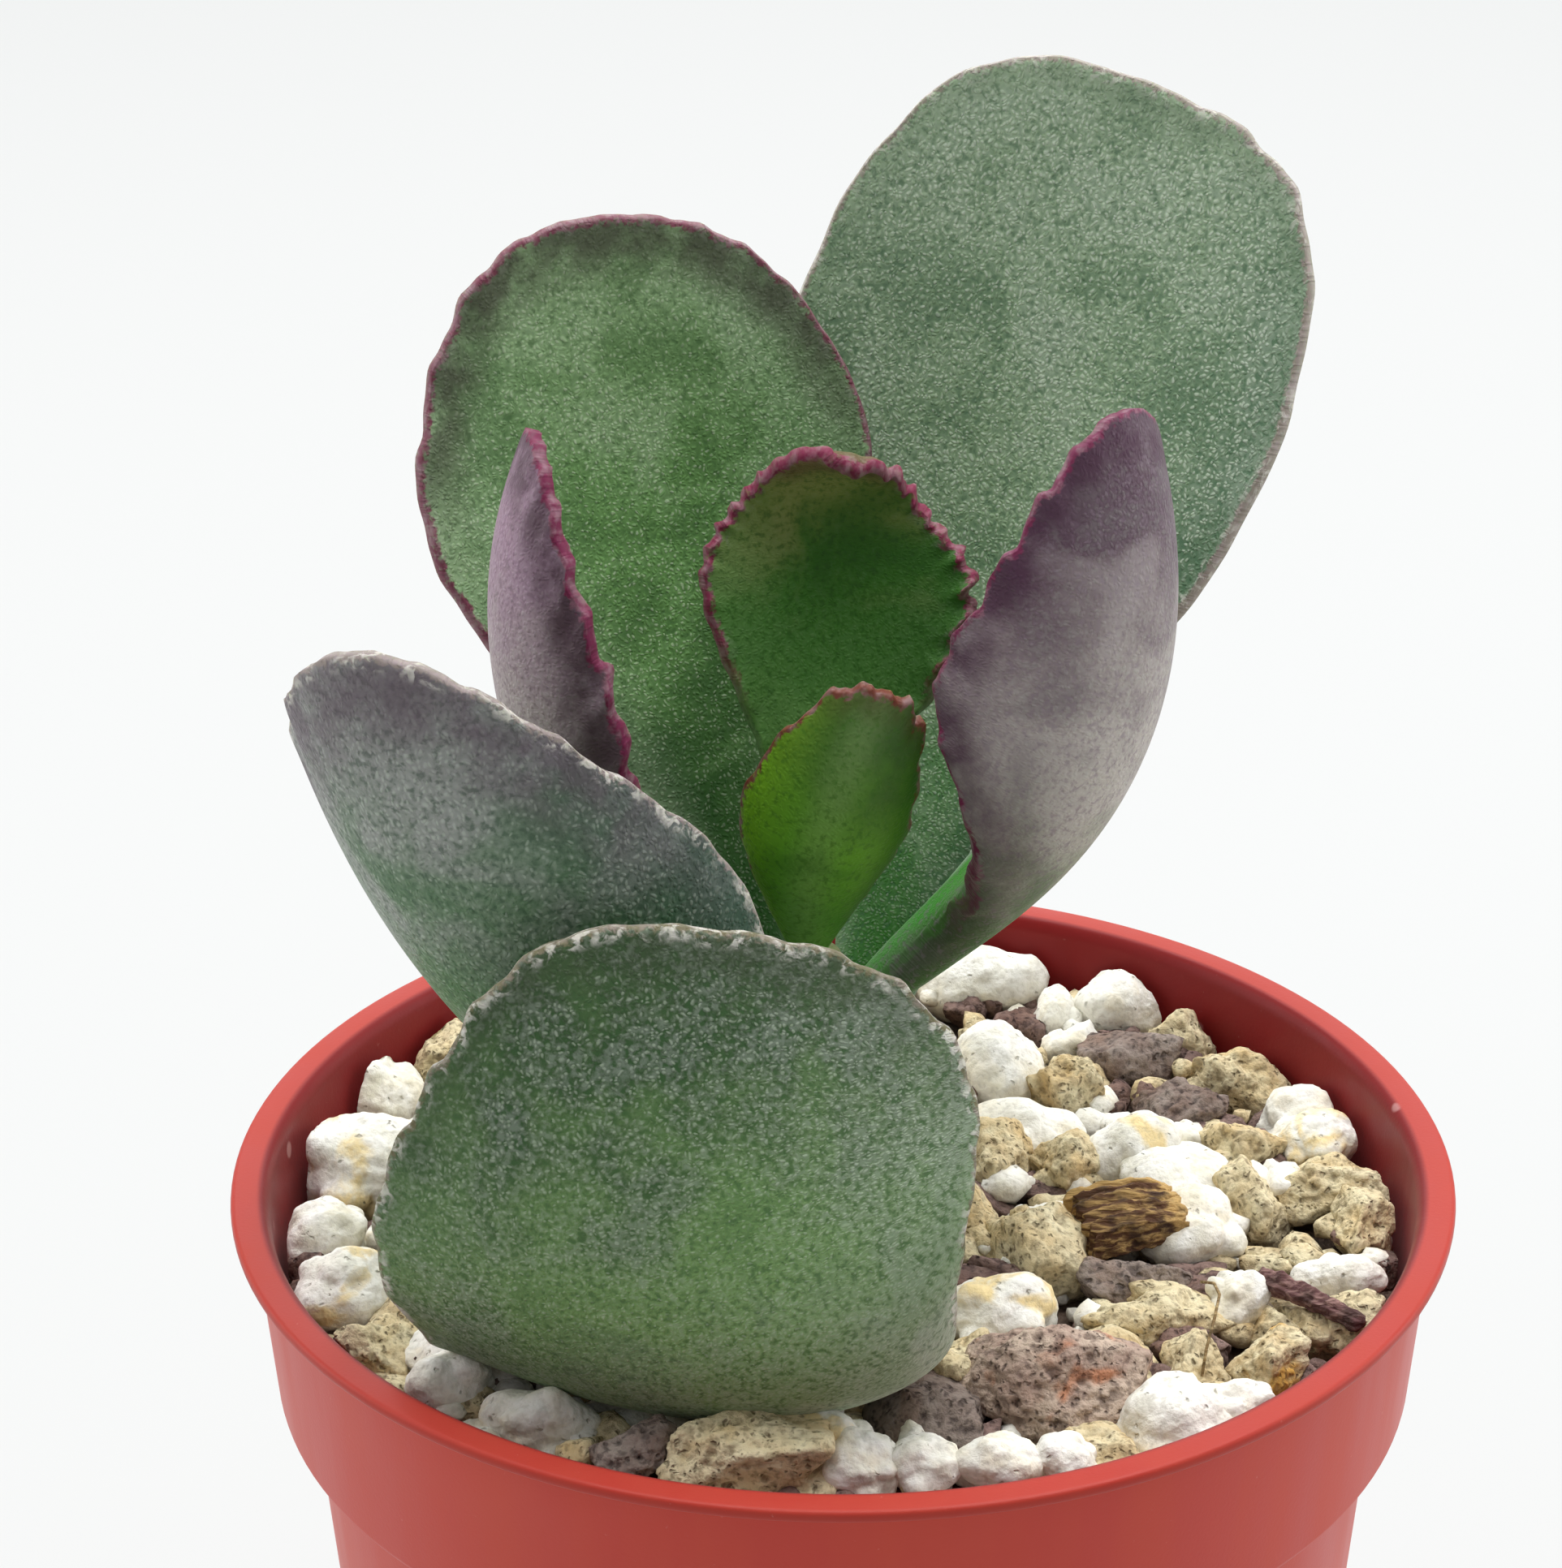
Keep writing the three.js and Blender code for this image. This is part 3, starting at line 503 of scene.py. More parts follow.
def leaf_skin(leaf):
    """Waxy skin of a living leaf, pebbled with pale water cells, frosted in patches and purple
    where it has had sun, with a horny edge. Its two sides carry painted light and shade, one leaf
    a painted highlight streak, and the dark band along the edge is partly painted shade. The wax
    gives broad dull highlights."""
    look = leaf.skin
    material, add, shader = new_material(leaf.node.replace("leaf", "waxy_leaf_skin"))
    place = millimetres(add)
    inset, reach, across, along, sideways, face = (
        add("attribute", attribute_name=name)
        for name in ("inset", "reach", "across", "along", "sideways", "face"))
    patches = add("noise", place, 0.22, 4.0, 0.5)
    fine = add("noise", place, 3.6, 5.0, 0.3)

    # Colour from the base over the middle to the tip, with drifting borders, then painted light
    # and shade on the two sides, a painted highlight streak and darker patches
    drifted = add("plus", reach, add("ramp", patches, 0.3, 0.7, -0.2, 0.2))
    low = add("ramp", drifted, -0.6, 0.25)
    high = add("ramp", drifted, 0.15, 0.9)
    under, upper = (painted(add, base, ((low, middle), (high, tip)))
                    for base, middle, tip in (look.under, look.upper))
    # A painted highlight: a pale streak along the leaf beside its middle
    highlight_streak = add("unsigned", add("minus", across, 0.3))
    layers = [
        (add("ramp", face, 0.3, 0.7), upper),
        # Painted light and shade: each side of the leaf paler or darker towards its edge, with
        # some of the leaf's own tone
        (add("ramp", sideways, -0.2, -0.95, 0.0, look.lit_and_shaded_sides[1]), look.lit_and_shaded_sides[0]),
        (add("ramp", sideways, 0.2, 0.95, 0.0, look.lit_and_shaded_sides[3]), look.lit_and_shaded_sides[2]),
        # The painted highlight streak
        (add("ramp", highlight_streak, 1.3, 0.0, 0.0, look.highlight_streak), "#8fae6c"),
        (add("ramp", patches, 0.5, 0.3, 0.0, 0.35), look.deep),
        (add("ramp", fine, 0.52, 0.32, 0.0, 0.55), look.deep),
    ]

    # Pale cells about a quarter of a millimetre apart with dark joints between them
    flat = add("together", across, along)
    wobble = add("noise", flat, 1.5, 1.0, give="Color")
    cells = add("cells", add("bent", wobble, (0.5, 0.5, 0.5), flat),
                MM / bpy.context.scene.succulent_leaves.speck, voronoi_dimensions="2D")
    dot = add("ramp", cells, 0.44, 0.12)
    joint = add("ramp", cells, 0.35, 0.8, 0.0, 0.8 * look.cell_strength)
    chance = add("plus", add("channel", cells.node.outputs["Color"]),
                 add("ramp", patches, 0.35, 0.65, -0.2, 0.2))
    lit = add("ramp", chance, 1.0 - look.cell_share, 1.5 - look.cell_share)
    far_up = add("ramp", reach, -0.8, 0.1, 0.25, 1.0)
    seen = add("times", add("ramp", inset, 0.4, 2.4, 0.15, 1.0), far_up)
    specks = add("times", add("times", dot, lit), seen)
    layers.append((add("times", joint, seen), look.deep))
    layers.append((add("times", specks, look.cell_strength), look.pale))

    # Whitish frost, fine and thickest in patches
    frosted = add("plus", fine, add("times", patches, 0.7))
    amount = add("ramp", face, 0.3, 0.7, look.frost[1], look.frost[0])
    frost = add("times", add("ramp", frosted, 0.76, 1.05), add("times", amount, far_up))
    layers.append((frost, "#c2ccc0"))

    # A darker band towards the tip and along the edge: partly purple blush, partly painted shade
    # along the edge
    near_edge = add("ramp", inset, look.blush_and_shade_width, 0.25 * look.blush_and_shade_width)
    tip = add("ramp", reach, 0.75, 1.0, 0.0, 0.5)
    blush_and_shade = add("times", add("ramp", reach, *look.blush_and_shade_reach), add("larger", near_edge, tip))
    ragged = add("ramp", add("noise", place, 0.6, 6.0), 0.15, 0.62)
    layers.append((add("times", add("times", blush_and_shade, ragged), look.blush_and_shade_amount), look.blush_and_shade))

    # The horny edge, scaly and pale in places on the old leaves
    ragged_inset = add("plus", inset, add("ramp", fine, 0.3, 0.7, -0.15, 0.15))
    on_blade = add("ramp", reach, look.edge_from, look.edge_from + 0.35)
    rim = add("ramp", ragged_inset, look.edge_width + 0.3, look.edge_width + 0.05)
    horn = add("mix", add("ramp", add("noise", place, 1.6, 4.0), 0.42, 0.66, 0.0, 0.32),
               look.edge, "#a8989c")
    layers.append((add("times", rim, on_blade), horn))
    ticks = add("ramp", add("noise", place, 2.0, 5.0, 0.8), 0.46, 0.6)
    scaly = add("ramp", add("noise", place, 0.7, 4.0), 0.38, 0.56)
    outermost = add("ramp", add("minus", ragged_inset, fine), look.edge_width + 0.3,
                    look.edge_width - 0.2)
    ticks = add("times", add("times", add("times", ticks, scaly), outermost),
                add("times", on_blade, look.ticks))
    layers.append((ticks, "#d2cec6"))

    height = add("plus", add("times", dot, 0.7), add("plus", ticks, add("times", fine, 0.8)))
    feed(shader, {
        "Base Color": painted(add, under, layers),
        "Normal": add("bump", height, 0.06 * MM, 0.3 + 1.1 * look.cell_strength),
        "Roughness": add("ramp", add("noise", place, 1.2, 3.0), 0.2, 0.8, 0.46, 0.62),
        "IOR": 1.42, "Specular IOR Level": 0.28,
        "Sheen Weight": 0.3 * look.frost[1], "Sheen Roughness": 0.4,
        "Subsurface Weight": 0.12, "Subsurface Radius": (0.6, 1.0, 0.3),
        "Subsurface Scale": 1.2 * MM})
    return material


# Grit

# Grains placed one by one: tone, x, y, width, depth and height in millimetres
MAIN_GRAINS = (
    ("white", 7.2, 23.2, 6.4, 3.6, 4), ("white", 14.2, 21, 4.6, 4.4, 4),
    ("tan", 16.6, 17.6, 4.6, 3.6, 3.6), ("tan", 19.6, 13.4, 4.6, 3.6, 3.2),
    ("tan", 10.8, 12.2, 4.2, 3.6, 3.6), ("grey", 16.3, 10.6, 3.9, 3.6, 2.6),
    ("white", 7.6, 14.6, 4.2, 6, 4.4), ("white", 10.9, 20.1, 2.2, 2.6, 2.8),
    ("white", 22.1, 10.2, 4, 2.8, 2.8), ("cream", 22.4, 7.1, 3.8, 3.4, 3),
    ("tan", 18.9, 7.1, 3.9, 3.6, 3), ("cream", 13.8, 6.1, 4.9, 4.2, 4.2),
    ("tan", 7.5, 5.2, 2.8, 3.6, 3.4), ("tan", 10.3, 5, 3.4, 3.6, 3.2),
    ("white", 15.8, -0.9, 4.4, 4.6, 3.6), ("tan", 18.8, 1.6, 4.2, 4.4, 3.6),
    ("tan", 22.4, 2.6, 4.6, 3.2, 3), ("tan", 23.8, -0.9, 2.8, 3.6, 3.2),
    ("tan", 8.6, -2.6, 4.6, 5.6, 4), ("cream", 7, -8.6, 4.2, 3.6, 3.4),
    ("tan", 13.8, -8.6, 6, 3.4, 2.4), ("white", 17.4, -7.4, 2.7, 2.6, 2.6),
    ("white", 22, -5, 3.8, 2.4, 2.2), ("tan", 22, -9, 3.6, 3, 2.6),
    ("white", 13.9, -17.2, 4.8, 4.2, 3.4), ("tan", 15.2, -13, 2.6, 3.4, 2.8),
    ("orange", 18.2, -12.6, 3.2, 3.2, 2.8), ("grey", 12.9, -5.6, 4.6, 2.6, 2),
    ("tan", 5.2, -13, 2.6, 2.6, 2.4), ("tan", -4, -20, 6.4, 3.8, 4),
    ("cream", -0.6, -19.2, 3.2, 2.8, 3), ("white", 0.8, -20.6, 3, 2.8, 2.6),
    ("white", 3.4, -20.6, 2.8, 2.6, 2.4), ("white", 6.4, -20.4, 3.8, 2.6, 2.4),
    ("white", 9.2, -20.4, 2.4, 2.4, 2.2), ("white", -22.1, 11.6, 3.8, 4, 4),
    ("cream", -22.4, 4.6, 5.4, 5, 4.6), ("white", -23.4, -1.2, 3.4, 4.4, 3.6),
    ("cream", -21.6, -6.2, 4.6, 4, 3.2), ("white", -16.6, -14, 3.2, 3, 2.8),
    ("white", -12.6, -16.4, 4.6, 3, 3), ("tan", -20.2, -11.2, 2.8, 3, 2.6),
    ("grey", -8.6, -19.6, 3.2, 2.6, 2.2), ("tan", -19.6, 15.2, 3, 3.6, 3.4),
    ("white", 16.6, -16.2, 2.6, 2.4, 2.2),
)
GRAIN_CENTRE_LEVEL = 46.5
FRONT_HEAP = 0.045
GRAIN_SIZE = 4.7
GRAIN_HEIGHT = 3.0
GRAIN_REACH = 25.9 - GRAIN_SIZE / 2
GRAIN_SEED = 1000
WALL_RADIUS = 25.3
GRAIN_WALL_GAP = 0.15

# A grain stays this share of its size away from a leaf, and is moved down by small steps
CLEAR_SHARE = 0.8
SETTLE_STEPS = 4
SETTLE_LEAST = 0.3

# The crumbs: how far out they lie, their levels, and how many of them are larger chips
CRUMB_REACH = 24.4
CRUMB_LEVEL = 45.6
CHIP_LEVEL = 45.4
CRUMB_HEAP = 1.1
CHIP_EVERY = 6
FIRST_CRUMB = 5000
CRUMB_NUMBERS = 2000
GRAIN_FILL = 1.14

# Powers that set how softly lobes melt together and how sharp a broken edge is
MELT = 12
WORN = 26


class Grain(NamedTuple):
    """One grain: its tone, middle and size in millimetres, and its turn."""

    tone: str
    middle: tuple
    size: tuple
    turn: float


def grain_places(pitch):
    """The listed grains, then a staggered fill wherever none of them lies."""
    grains = [Grain(tone, (x, y, GRAIN_CENTRE_LEVEL + FRONT_HEAP * max(0, -y)),
                    (width, depth, height), 0.0)
              for tone, x, y, width, depth, height in MAIN_GRAINS]
    listed = tuple(grains)
    row_pitch = pitch * math.sqrt(3) / 2
    steps = math.ceil(GRAIN_REACH / row_pitch)
    number = 0
    for row in range(-steps, steps + 1):
        for column in range(-steps, steps + 1):
            number += 1
            stagger = 0 if row % 2 == 0 else 0.5
            x = (column + stagger + 0.3 * (draw(number, 1) - 0.5)) * pitch
            y = row * row_pitch + 0.3 * (draw(number, 2) - 0.5) * pitch
            width = GRAIN_SIZE * (0.85 + 0.35 * draw(number, 3))
            crowded = any(
                math.hypot(g.middle[0] - x, g.middle[1] - y) < (g.size[0] + g.size[1]) / 4 + 1
                for g in listed)
            if math.hypot(x, y) > GRAIN_REACH or crowded:
                continue
            height = GRAIN_HEIGHT * (0.75 + 0.4 * draw(number, 4))
            tone = ("white", "tan", "cream", "tan", "white", "grey")[int(6 * draw(number, 6))]
            turn = 2 * math.pi * draw(len(grains), 5)
            grains.append(Grain(tone, (x, y, GRAIN_CENTRE_LEVEL),
                                (width, width * 0.85, height), turn))
    return grains


def ball(subdivisions):
    """An even ball of diameter 1."""
    bm = bmesh.new()
    bmesh.ops.create_icosphere(bm, subdivisions=subdivisions, radius=0.5)
    return bm


def lobed(directions, rng):
    """How far out a puffed grain reaches: round lobes melted together where they meet."""
    total = np.full(len(directions), 0.66) ** MELT
    for count, spots, sizes in ((6, (0.25, 0.45), (0.4, 0.6)), (9, (0.5, 0.66), (0.2, 0.34))):
        for _ in range(count):
            centre = unit(rng.normal(size=3)) * rng.uniform(*spots)
            lobe = rng.uniform(*sizes)
            along = directions @ centre
            gap = along ** 2 - centre @ centre + lobe ** 2
            out = np.where((gap > 0) & (along > 0), along + np.sqrt(np.maximum(0, gap)), 0.01)
            total = total + out ** MELT
    return total ** (1 / MELT)


def broken(directions, rng):
    """How far out a broken stone reaches: flat faces at random, with worn edges."""
    reach = np.full(len(directions), 1.25) ** -WORN
    for _ in range(15):
        face = unit(rng.normal(size=3))
        distance = rng.uniform(0.55, 1.0)
        out = np.maximum(0.05, directions @ face) / distance
        reach = reach + out ** WORN
    return reach ** (-1 / WORN)


def crust(points, size, rng):
    """Uneven roughness of a stone, about -1 to 1, for a size of its largest bumps."""
    shifted = points / size + rng.uniform(-50, 50, 3)
    return np.array([field.fractal(Vector(point), 1.0, 2.0, 4) for point in shifted])


def pores(points, pitch, rng):
    """The open pores of a stone: 1 in the middle of a pore and 0 on the skin between them."""
    shifted = points / pitch + rng.uniform(-50, 50, 3)
    gaps = np.array([field.voronoi(Vector(point))[0][0] for point in shifted])
    return smooth((0.42 - gaps) / 0.25)


def grain_points(base, grain, number):
    """The base ball's points pressed into a grain's shape, in millimetres, and its pores."""
    rng = np.random.default_rng(GRAIN_SEED + number)
    directions = unit(base)
    puffed = grain.tone in ("white", "cream")
    points = directions * (lobed if puffed else broken)(directions, rng)[:, None]
    points = fitted(points, grain.size) * GRAIN_FILL
    bumps, fine_bumps, pore_pitch, pore_depth = (
        (0.2, 0.07, 1.3, 0.05) if puffed else (0.32, 0.14, 0.6, 0.09))
    hollow = pores(points, pore_pitch, rng)
    rough = (bumps * crust(points, 1.6, rng) + fine_bumps * crust(points, 0.5, rng)
             - pore_depth * hollow)
    points = points + directions * (rough * min(1, min(grain.size) / 2.5))[:, None]
    return placed(points, grain.turn, grain.middle), hollow


def settle(grain, points, trees):
    """Moves a grain's points down or in until it is clear of the plant and the pot."""
    size = sorted(grain.size)[1] / 2
    clear = size * CLEAR_SHARE
    for tree in trees:
        for _ in range(SETTLE_STEPS):
            hit, _, _, distance = tree.find_nearest(Vector(points.mean(0) * MM))
            near = distance / MM if hit is not None else size + 1
            if near >= clear:
                break
            points = points - np.array((0, 0, 0.6 * (clear - near) + SETTLE_LEAST))
    spread = np.hypot(points[:, 0], points[:, 1])
    room = WALL_RADIUS - GRAIN_WALL_GAP
    squeeze = np.where(spread > room, room / np.maximum(spread, 1e-6), 1.0)
    return points * np.stack([squeeze, squeeze, np.ones_like(squeeze)], axis=1)


def grain_piece(name, material, slot, grains, numbers, subdivisions, trees):
    """All grains of one material as one piece. subdivisions has one value a grain."""
    bm = bmesh.new()
    templates = {}
    for level in set(subdivisions):
        template = ball(level)
        mesh = bpy.data.meshes.new(name + "_template")
        template.to_mesh(mesh)
        templates[level] = mesh, np.array([vertex.co for vertex in template.verts])
        template.free()
    settled = []
    marks = {"pore": [], "luck": [], "stain": []}
    for grain, number, level in zip(grains, numbers, subdivisions):
        mesh, base = templates[level]
        bm.from_mesh(mesh)
        points, hollow = grain_points(base, grain, number)
        settled.append(settle(grain, points, trees))
        marks["pore"].append(hollow)
        marks["luck"].append(np.full(len(base), draw(number, 8)))
        marks["stain"].append(np.full(len(base), float(grain.tone in ("cream", "orange"))))
    for mesh, _ in templates.values():
        bpy.data.meshes.remove(mesh)
    piece = piece_from(bm, name, material, slot, "grit_bed")
    set_points(piece.data, np.concatenate(settled) * MM)
    set_attributes(piece.data, **{key: np.concatenate(each) for key, each in marks.items()})


class Stone(NamedTuple):
    """How a broken stone looks: its colours, how large and deep its fine pits are in millimetres,
    the share of it that is pitted, and how grimy it is, which also sets the painted shade in its
    pores."""

    base: tuple
    pale: str
    dark: str
    stain: str
    pit: float
    pit_depth: float
    pit_share: float
    grime_and_pore_shade: float


def stone_material(name, stone):
    """Broken volcanic stone: a dry matt surface whose pores read as fine dark pits; its pits,
    pores and low parts carry painted shade.
    """
    material, add, shader = new_material(name)
    place = millimetres(add)
    luck, stained, pore = (add("attribute", attribute_name=key)
                           for key in ("luck", "stain", "pore"))
    clouds = add("ramp", add("noise", place, 0.7, 4.0), 0.3, 0.7)
    patch = add("times", add("ramp", add("noise", place, 0.38, 4.0, 0.5), 0.5, 0.64),
                add("plus", add("times", stained, 0.7), 0.22))
    grain = add("noise", place, 3.2, 5.0)
    wobble = add("noise", place, 2.2, 2.0, give="Color")
    cells = add("cells", add("bent", wobble, (0.7, 0.7, 0.7), place), 1 / stone.pit)
    open_cell = add("ramp", add("channel", cells.node.outputs["Color"]),
                    1.0 - stone.pit_share, 1.02 - stone.pit_share)
    pit = add("times", add("ramp", cells, 0.45, 0.1), open_cell)
    # Painted shade: the grains darker below 47 mm, down among the other grains
    shaded_low = add("ramp", add("parts", place, give=2), 47.0, 45.0, 0.0, 0.55)
    relief = add("minus", grain, add("times", pit, 0.8))
    feed(shader, {
        "Base Color": painted(add, stone.base, (
            (clouds, stone.pale),
            (add("times", luck, 0.5), stone.pale),
            (patch, stone.stain),
            (add("ramp", grain, 0.52, 0.32, 0.0, stone.grime_and_pore_shade), stone.dark),
            # Painted shade in the hollows: dark in the pits and the pores
            (add("times", pit, 0.6), stone.dark),
            (add("times", pore, stone.grime_and_pore_shade), stone.dark),
            # Painted shade low among the grains
            (shaded_low, "#5a493c"))),
        "Normal": add("bump", relief, stone.pit_depth * MM, 0.9),
        "Roughness": 0.92, "Specular IOR Level": 0.2})
    return material


# Operators


class SUCCULENT_OT_pot(bpy.types.Operator):
    """Make the pot: one moulding turned from its profile, with drain holes in its floor."""

    bl_idname = "succulent.pot"
    bl_label = "Pot"

    def execute(self, context):
        make_pot(context.scene.succulent_pot)
        return {"FINISHED"}


class SUCCULENT_OT_grit(bpy.types.Operator):
    """Make the grit: the mix in the pot, its top grains by tone, and crumbs between them."""

    bl_idname = "succulent.grit"
    bl_label = "Grit"

    def execute(self, context):
        make_grit(context.scene.succulent_grit)
        return {"FINISHED"}


class SUCCULENT_OT_stem(bpy.types.Operator):
    """Make the short stem with its leaf scars."""

    bl_idname = "succulent.stem"
    bl_label = "Stem"

    def execute(self, context):
        make_stem()
        return {"FINISHED"}


class SUCCULENT_OT_leaves(bpy.types.Operator):
    """Make the leaves, each in its own skin."""

    bl_idname = "succulent.leaves"
    bl_label = "Leaves"

    def execute(self, context):
        for leaf in LEAVES:
            make_leaf(leaf, context.scene.succulent_leaves)
        return {"FINISHED"}


class SUCCULENT_OT_litter(bpy.types.Operator):
    """Make the lava stone, the bark chip, the twig and the loose fibre on the grit."""

    bl_idname = "succulent.litter"
    bl_label = "Litter"

    def execute(self, context):
        make_lava_stone()
        make_bark_chip()
        make_twig()
        make_fibre()
        return {"FINISHED"}


class SUCCULENT_OT_stage(bpy.types.Operator):
    """Make the pale floor, the studio light and the camera."""

    bl_idname = "succulent.stage"
    bl_label = "Stage"

    def execute(self, context):
        make_stage(context.scene, context.scene.succulent_stage)
        return {"FINISHED"}


class SUCCULENT_PT_panel(bpy.types.Panel):
    """Lists the pieces in the 3D view's sidebar."""

    bl_idname = "SUCCULENT_PT_panel"
    bl_label = "Potted succulent"
    bl_space_type = "VIEW_3D"
    bl_region_type = "UI"
    bl_category = "Succulent"

    def draw(self, context):
        for operator in OPERATORS:
            self.layout.operator(operator.bl_idname)


OPERATORS = (SUCCULENT_OT_stage, SUCCULENT_OT_pot, SUCCULENT_OT_grit, SUCCULENT_OT_stem,
             SUCCULENT_OT_leaves, SUCCULENT_OT_litter)
GROUPS = {"succulent_pot": PotSettings, "succulent_grit": GritSettings,
          "succulent_leaves": LeafSettings, "succulent_stage": StageSettings}
CLASSES = (*GROUPS.values(), *OPERATORS, SUCCULENT_PT_panel)


# Pot


def spun(profile, steps):
    """A closed solid of revolution from a profile of (radius, height) in millimetres."""
    bm = bmesh.new()
    points = [bm.verts.new((radius * MM, 0, height * MM)) for radius, height in profile]
    edges = [bm.edges.new(pair) for pair in zip(points, points[1:])]
    bmesh.ops.spin(bm, geom=points + edges, cent=(0, 0, 0), axis=(0, 0, 1),
                   angle=2 * math.pi, steps=steps, use_merge=True)
    bmesh.ops.remove_doubles(bm, verts=bm.verts, dist=1e-7)
    bmesh.ops.recalc_face_normals(bm, faces=bm.faces)
    return bm


def fillet(profile, radius, steps=4):
    """The profile with its corners rounded, apart from its two ends."""
    rounded = [profile[0]]
    for before, corner, after in zip(profile, profile[1:], profile[2:]):
        corner_point = Vector(corner)
        back = Vector(before) - corner_point
        ahead = Vector(after) - corner_point
        cut = min(radius, back.length * 0.45, ahead.length * 0.45)
        start = corner_point + back.normalized() * cut
        end = corner_point + ahead.normalized() * cut
        for i in range(steps + 1):
            t = i / steps
            point = start * (1 - t) ** 2 + corner_point * 2 * t * (1 - t) + end * t ** 2
            rounded.append((point.x, point.y))
    rounded.append(profile[-1])
    return rounded


COLLAR_HEIGHT = 9.35
COLLAR_TOP_RADIUS = 26.6
COLLAR_FOOT_RADIUS = 25.9
COLLAR_FOOT_LEVEL = 40.65
COLLAR_SLOPE = 0.08
BODY_TOP_RADIUS = 24.5
BODY_TAPER = 0.079
LIP_THICKNESS = 0.55
RIM_WIDTH = 1.4
FLOOR_THICKNESS = 1.2
CORNER_RADIUS = 0.3
SPIN_STEPS = 160

# The moulding is painted darker red from this height on the lip, and inside above this height, as
# painted shade
LIP_SHADE_LEVEL = 49.2
INSIDE_SHADE_LEVEL = 42.0
DRAIN_COUNT = 6
DRAIN_RADIUS = 2.0
DRAIN_RING = 13.0


def make_pot(settings):
    top = settings.height / MM
    rim = settings.rim_radius / MM
    wall = settings.wall / MM
    ledge = top - COLLAR_HEIGHT
    foot = BODY_TOP_RADIUS - BODY_TAPER * ledge
    lip = top - LIP_THICKNESS
    profile = [
        (0, 0), (foot, 0), (BODY_TOP_RADIUS, ledge), (COLLAR_FOOT_RADIUS, ledge),
        (COLLAR_TOP_RADIUS, lip), (rim, lip), (rim, top), (rim - RIM_WIDTH, top),
        (COLLAR_TOP_RADIUS - wall, top - 0.5), (COLLAR_FOOT_RADIUS - wall, ledge + wall),
        (BODY_TOP_RADIUS - wall, ledge + wall), (foot - wall + 0.1, FLOOR_THICKNESS),
        (0, FLOOR_THICKNESS),
    ]
    bm = spun(fillet(profile, CORNER_RADIUS), SPIN_STEPS)
    pot = piece_from(bm, "pot_moulding", pot_plastic(settings.colour), "pot", "pot")
    cutter = drain_cutter()
    holes = pot.modifiers.new("drain_holes", "BOOLEAN")
    holes.operation = "DIFFERENCE"
    holes.solver = "EXACT"
    holes.object = cutter
    bpy.context.view_layer.update()
    graph = bpy.context.evaluated_depsgraph_get()
    cut = bpy.data.meshes.new_from_object(pot.evaluated_get(graph))
    pot.modifiers.clear()
    pot.data = cut
    bpy.data.objects.remove(cutter)
    shade_smooth(cut)
    cut.set_sharp_from_angle(angle=math.radians(50))


def drain_cutter():
    """The pins that leave the drain holes, in one object."""
    bm = bmesh.new()
    for i in range(DRAIN_COUNT):
        angle = 2 * math.pi * (i + 0.5) / DRAIN_COUNT
        middle = Matrix.Translation((DRAIN_RING * math.cos(angle) * MM,
                                     DRAIN_RING * math.sin(angle) * MM, 0))
        bmesh.ops.create_cone(bm, cap_ends=True, segments=32, radius1=DRAIN_RADIUS * MM,
                              radius2=DRAIN_RADIUS * MM, depth=4 * FLOOR_THICKNESS * MM,
                              matrix=middle)
    return object_from(bm, "drain_pins")


def pot_plastic(colour):
    """Injection-moulded polypropylene: a waxy half-matt red with faint draw marks and a little
    pale dust. Its lip and its inner wall are darker red, a painted shade."""
    material, add, shader = new_material("moulded_polypropylene")
    place = millimetres(add)
    streaks = add("noise", add("mapping", place, (0.35, 0.35, 0.03)), 1.0, 3.0)
    clouds = add("noise", place, 0.08, 3.0)
    dust = add("noise", place, 3.5, 5.0)
    x, y, z = add("parts", place).node.outputs
    spread = add("root", add("plus", add("times", x, x), add("times", y, y)))
    within = add("minus", spread, add("times", z, COLLAR_SLOPE))
    middle = COLLAR_FOOT_RADIUS - COLLAR_SLOPE * COLLAR_FOOT_LEVEL - 0.4
    # Painted shade: the inner wall darker red above the grit
    shaded_inside = add("times", add("ramp", within, middle + 0.15, middle - 0.15, 0.0, 0.9),
                 add("ramp", z, INSIDE_SHADE_LEVEL, INSIDE_SHADE_LEVEL + 1))
    spot = add("ramp", add("cells", place, 0.22), 0.1, 0.06, 0.0, 0.5)
    feed(shader, {
        "Base Color": painted(add, colour, (
            (add("ramp", streaks, 0.3, 0.75), "#be4434"),
            (add("ramp", clouds, 0.45, 0.75, 0.0, 0.3), "#c05446"),
            # Painted shade: the lip's top darker red
            (add("ramp", z, LIP_SHADE_LEVEL, 49.5, 0.0, 0.6), "#9c2c22"),
            # Painted shade on the inner wall
            (shaded_inside, "#7a1418"),
            (add("times", spot, shaded_inside), "#d8a8a4"),
            (add("ramp", dust, 0.7, 0.82, 0.0, 0.2), "#d8b5a8"))),
        "Normal": add("bump", add("noise", place, 6.0, 3.0), 0.02 * MM, 0.35),
        "Roughness": add("ramp", streaks, 0.2, 0.8, 0.36, 0.5),
        "IOR": 1.36, "Specular IOR Level": 0.3, "Sheen Weight": 0.05,
        "Subsurface Weight": 0.05, "Subsurface Radius": (1.0, 0.3, 0.2),
        "Subsurface Scale": 0.6 * MM})
    return material


# Grit pieces


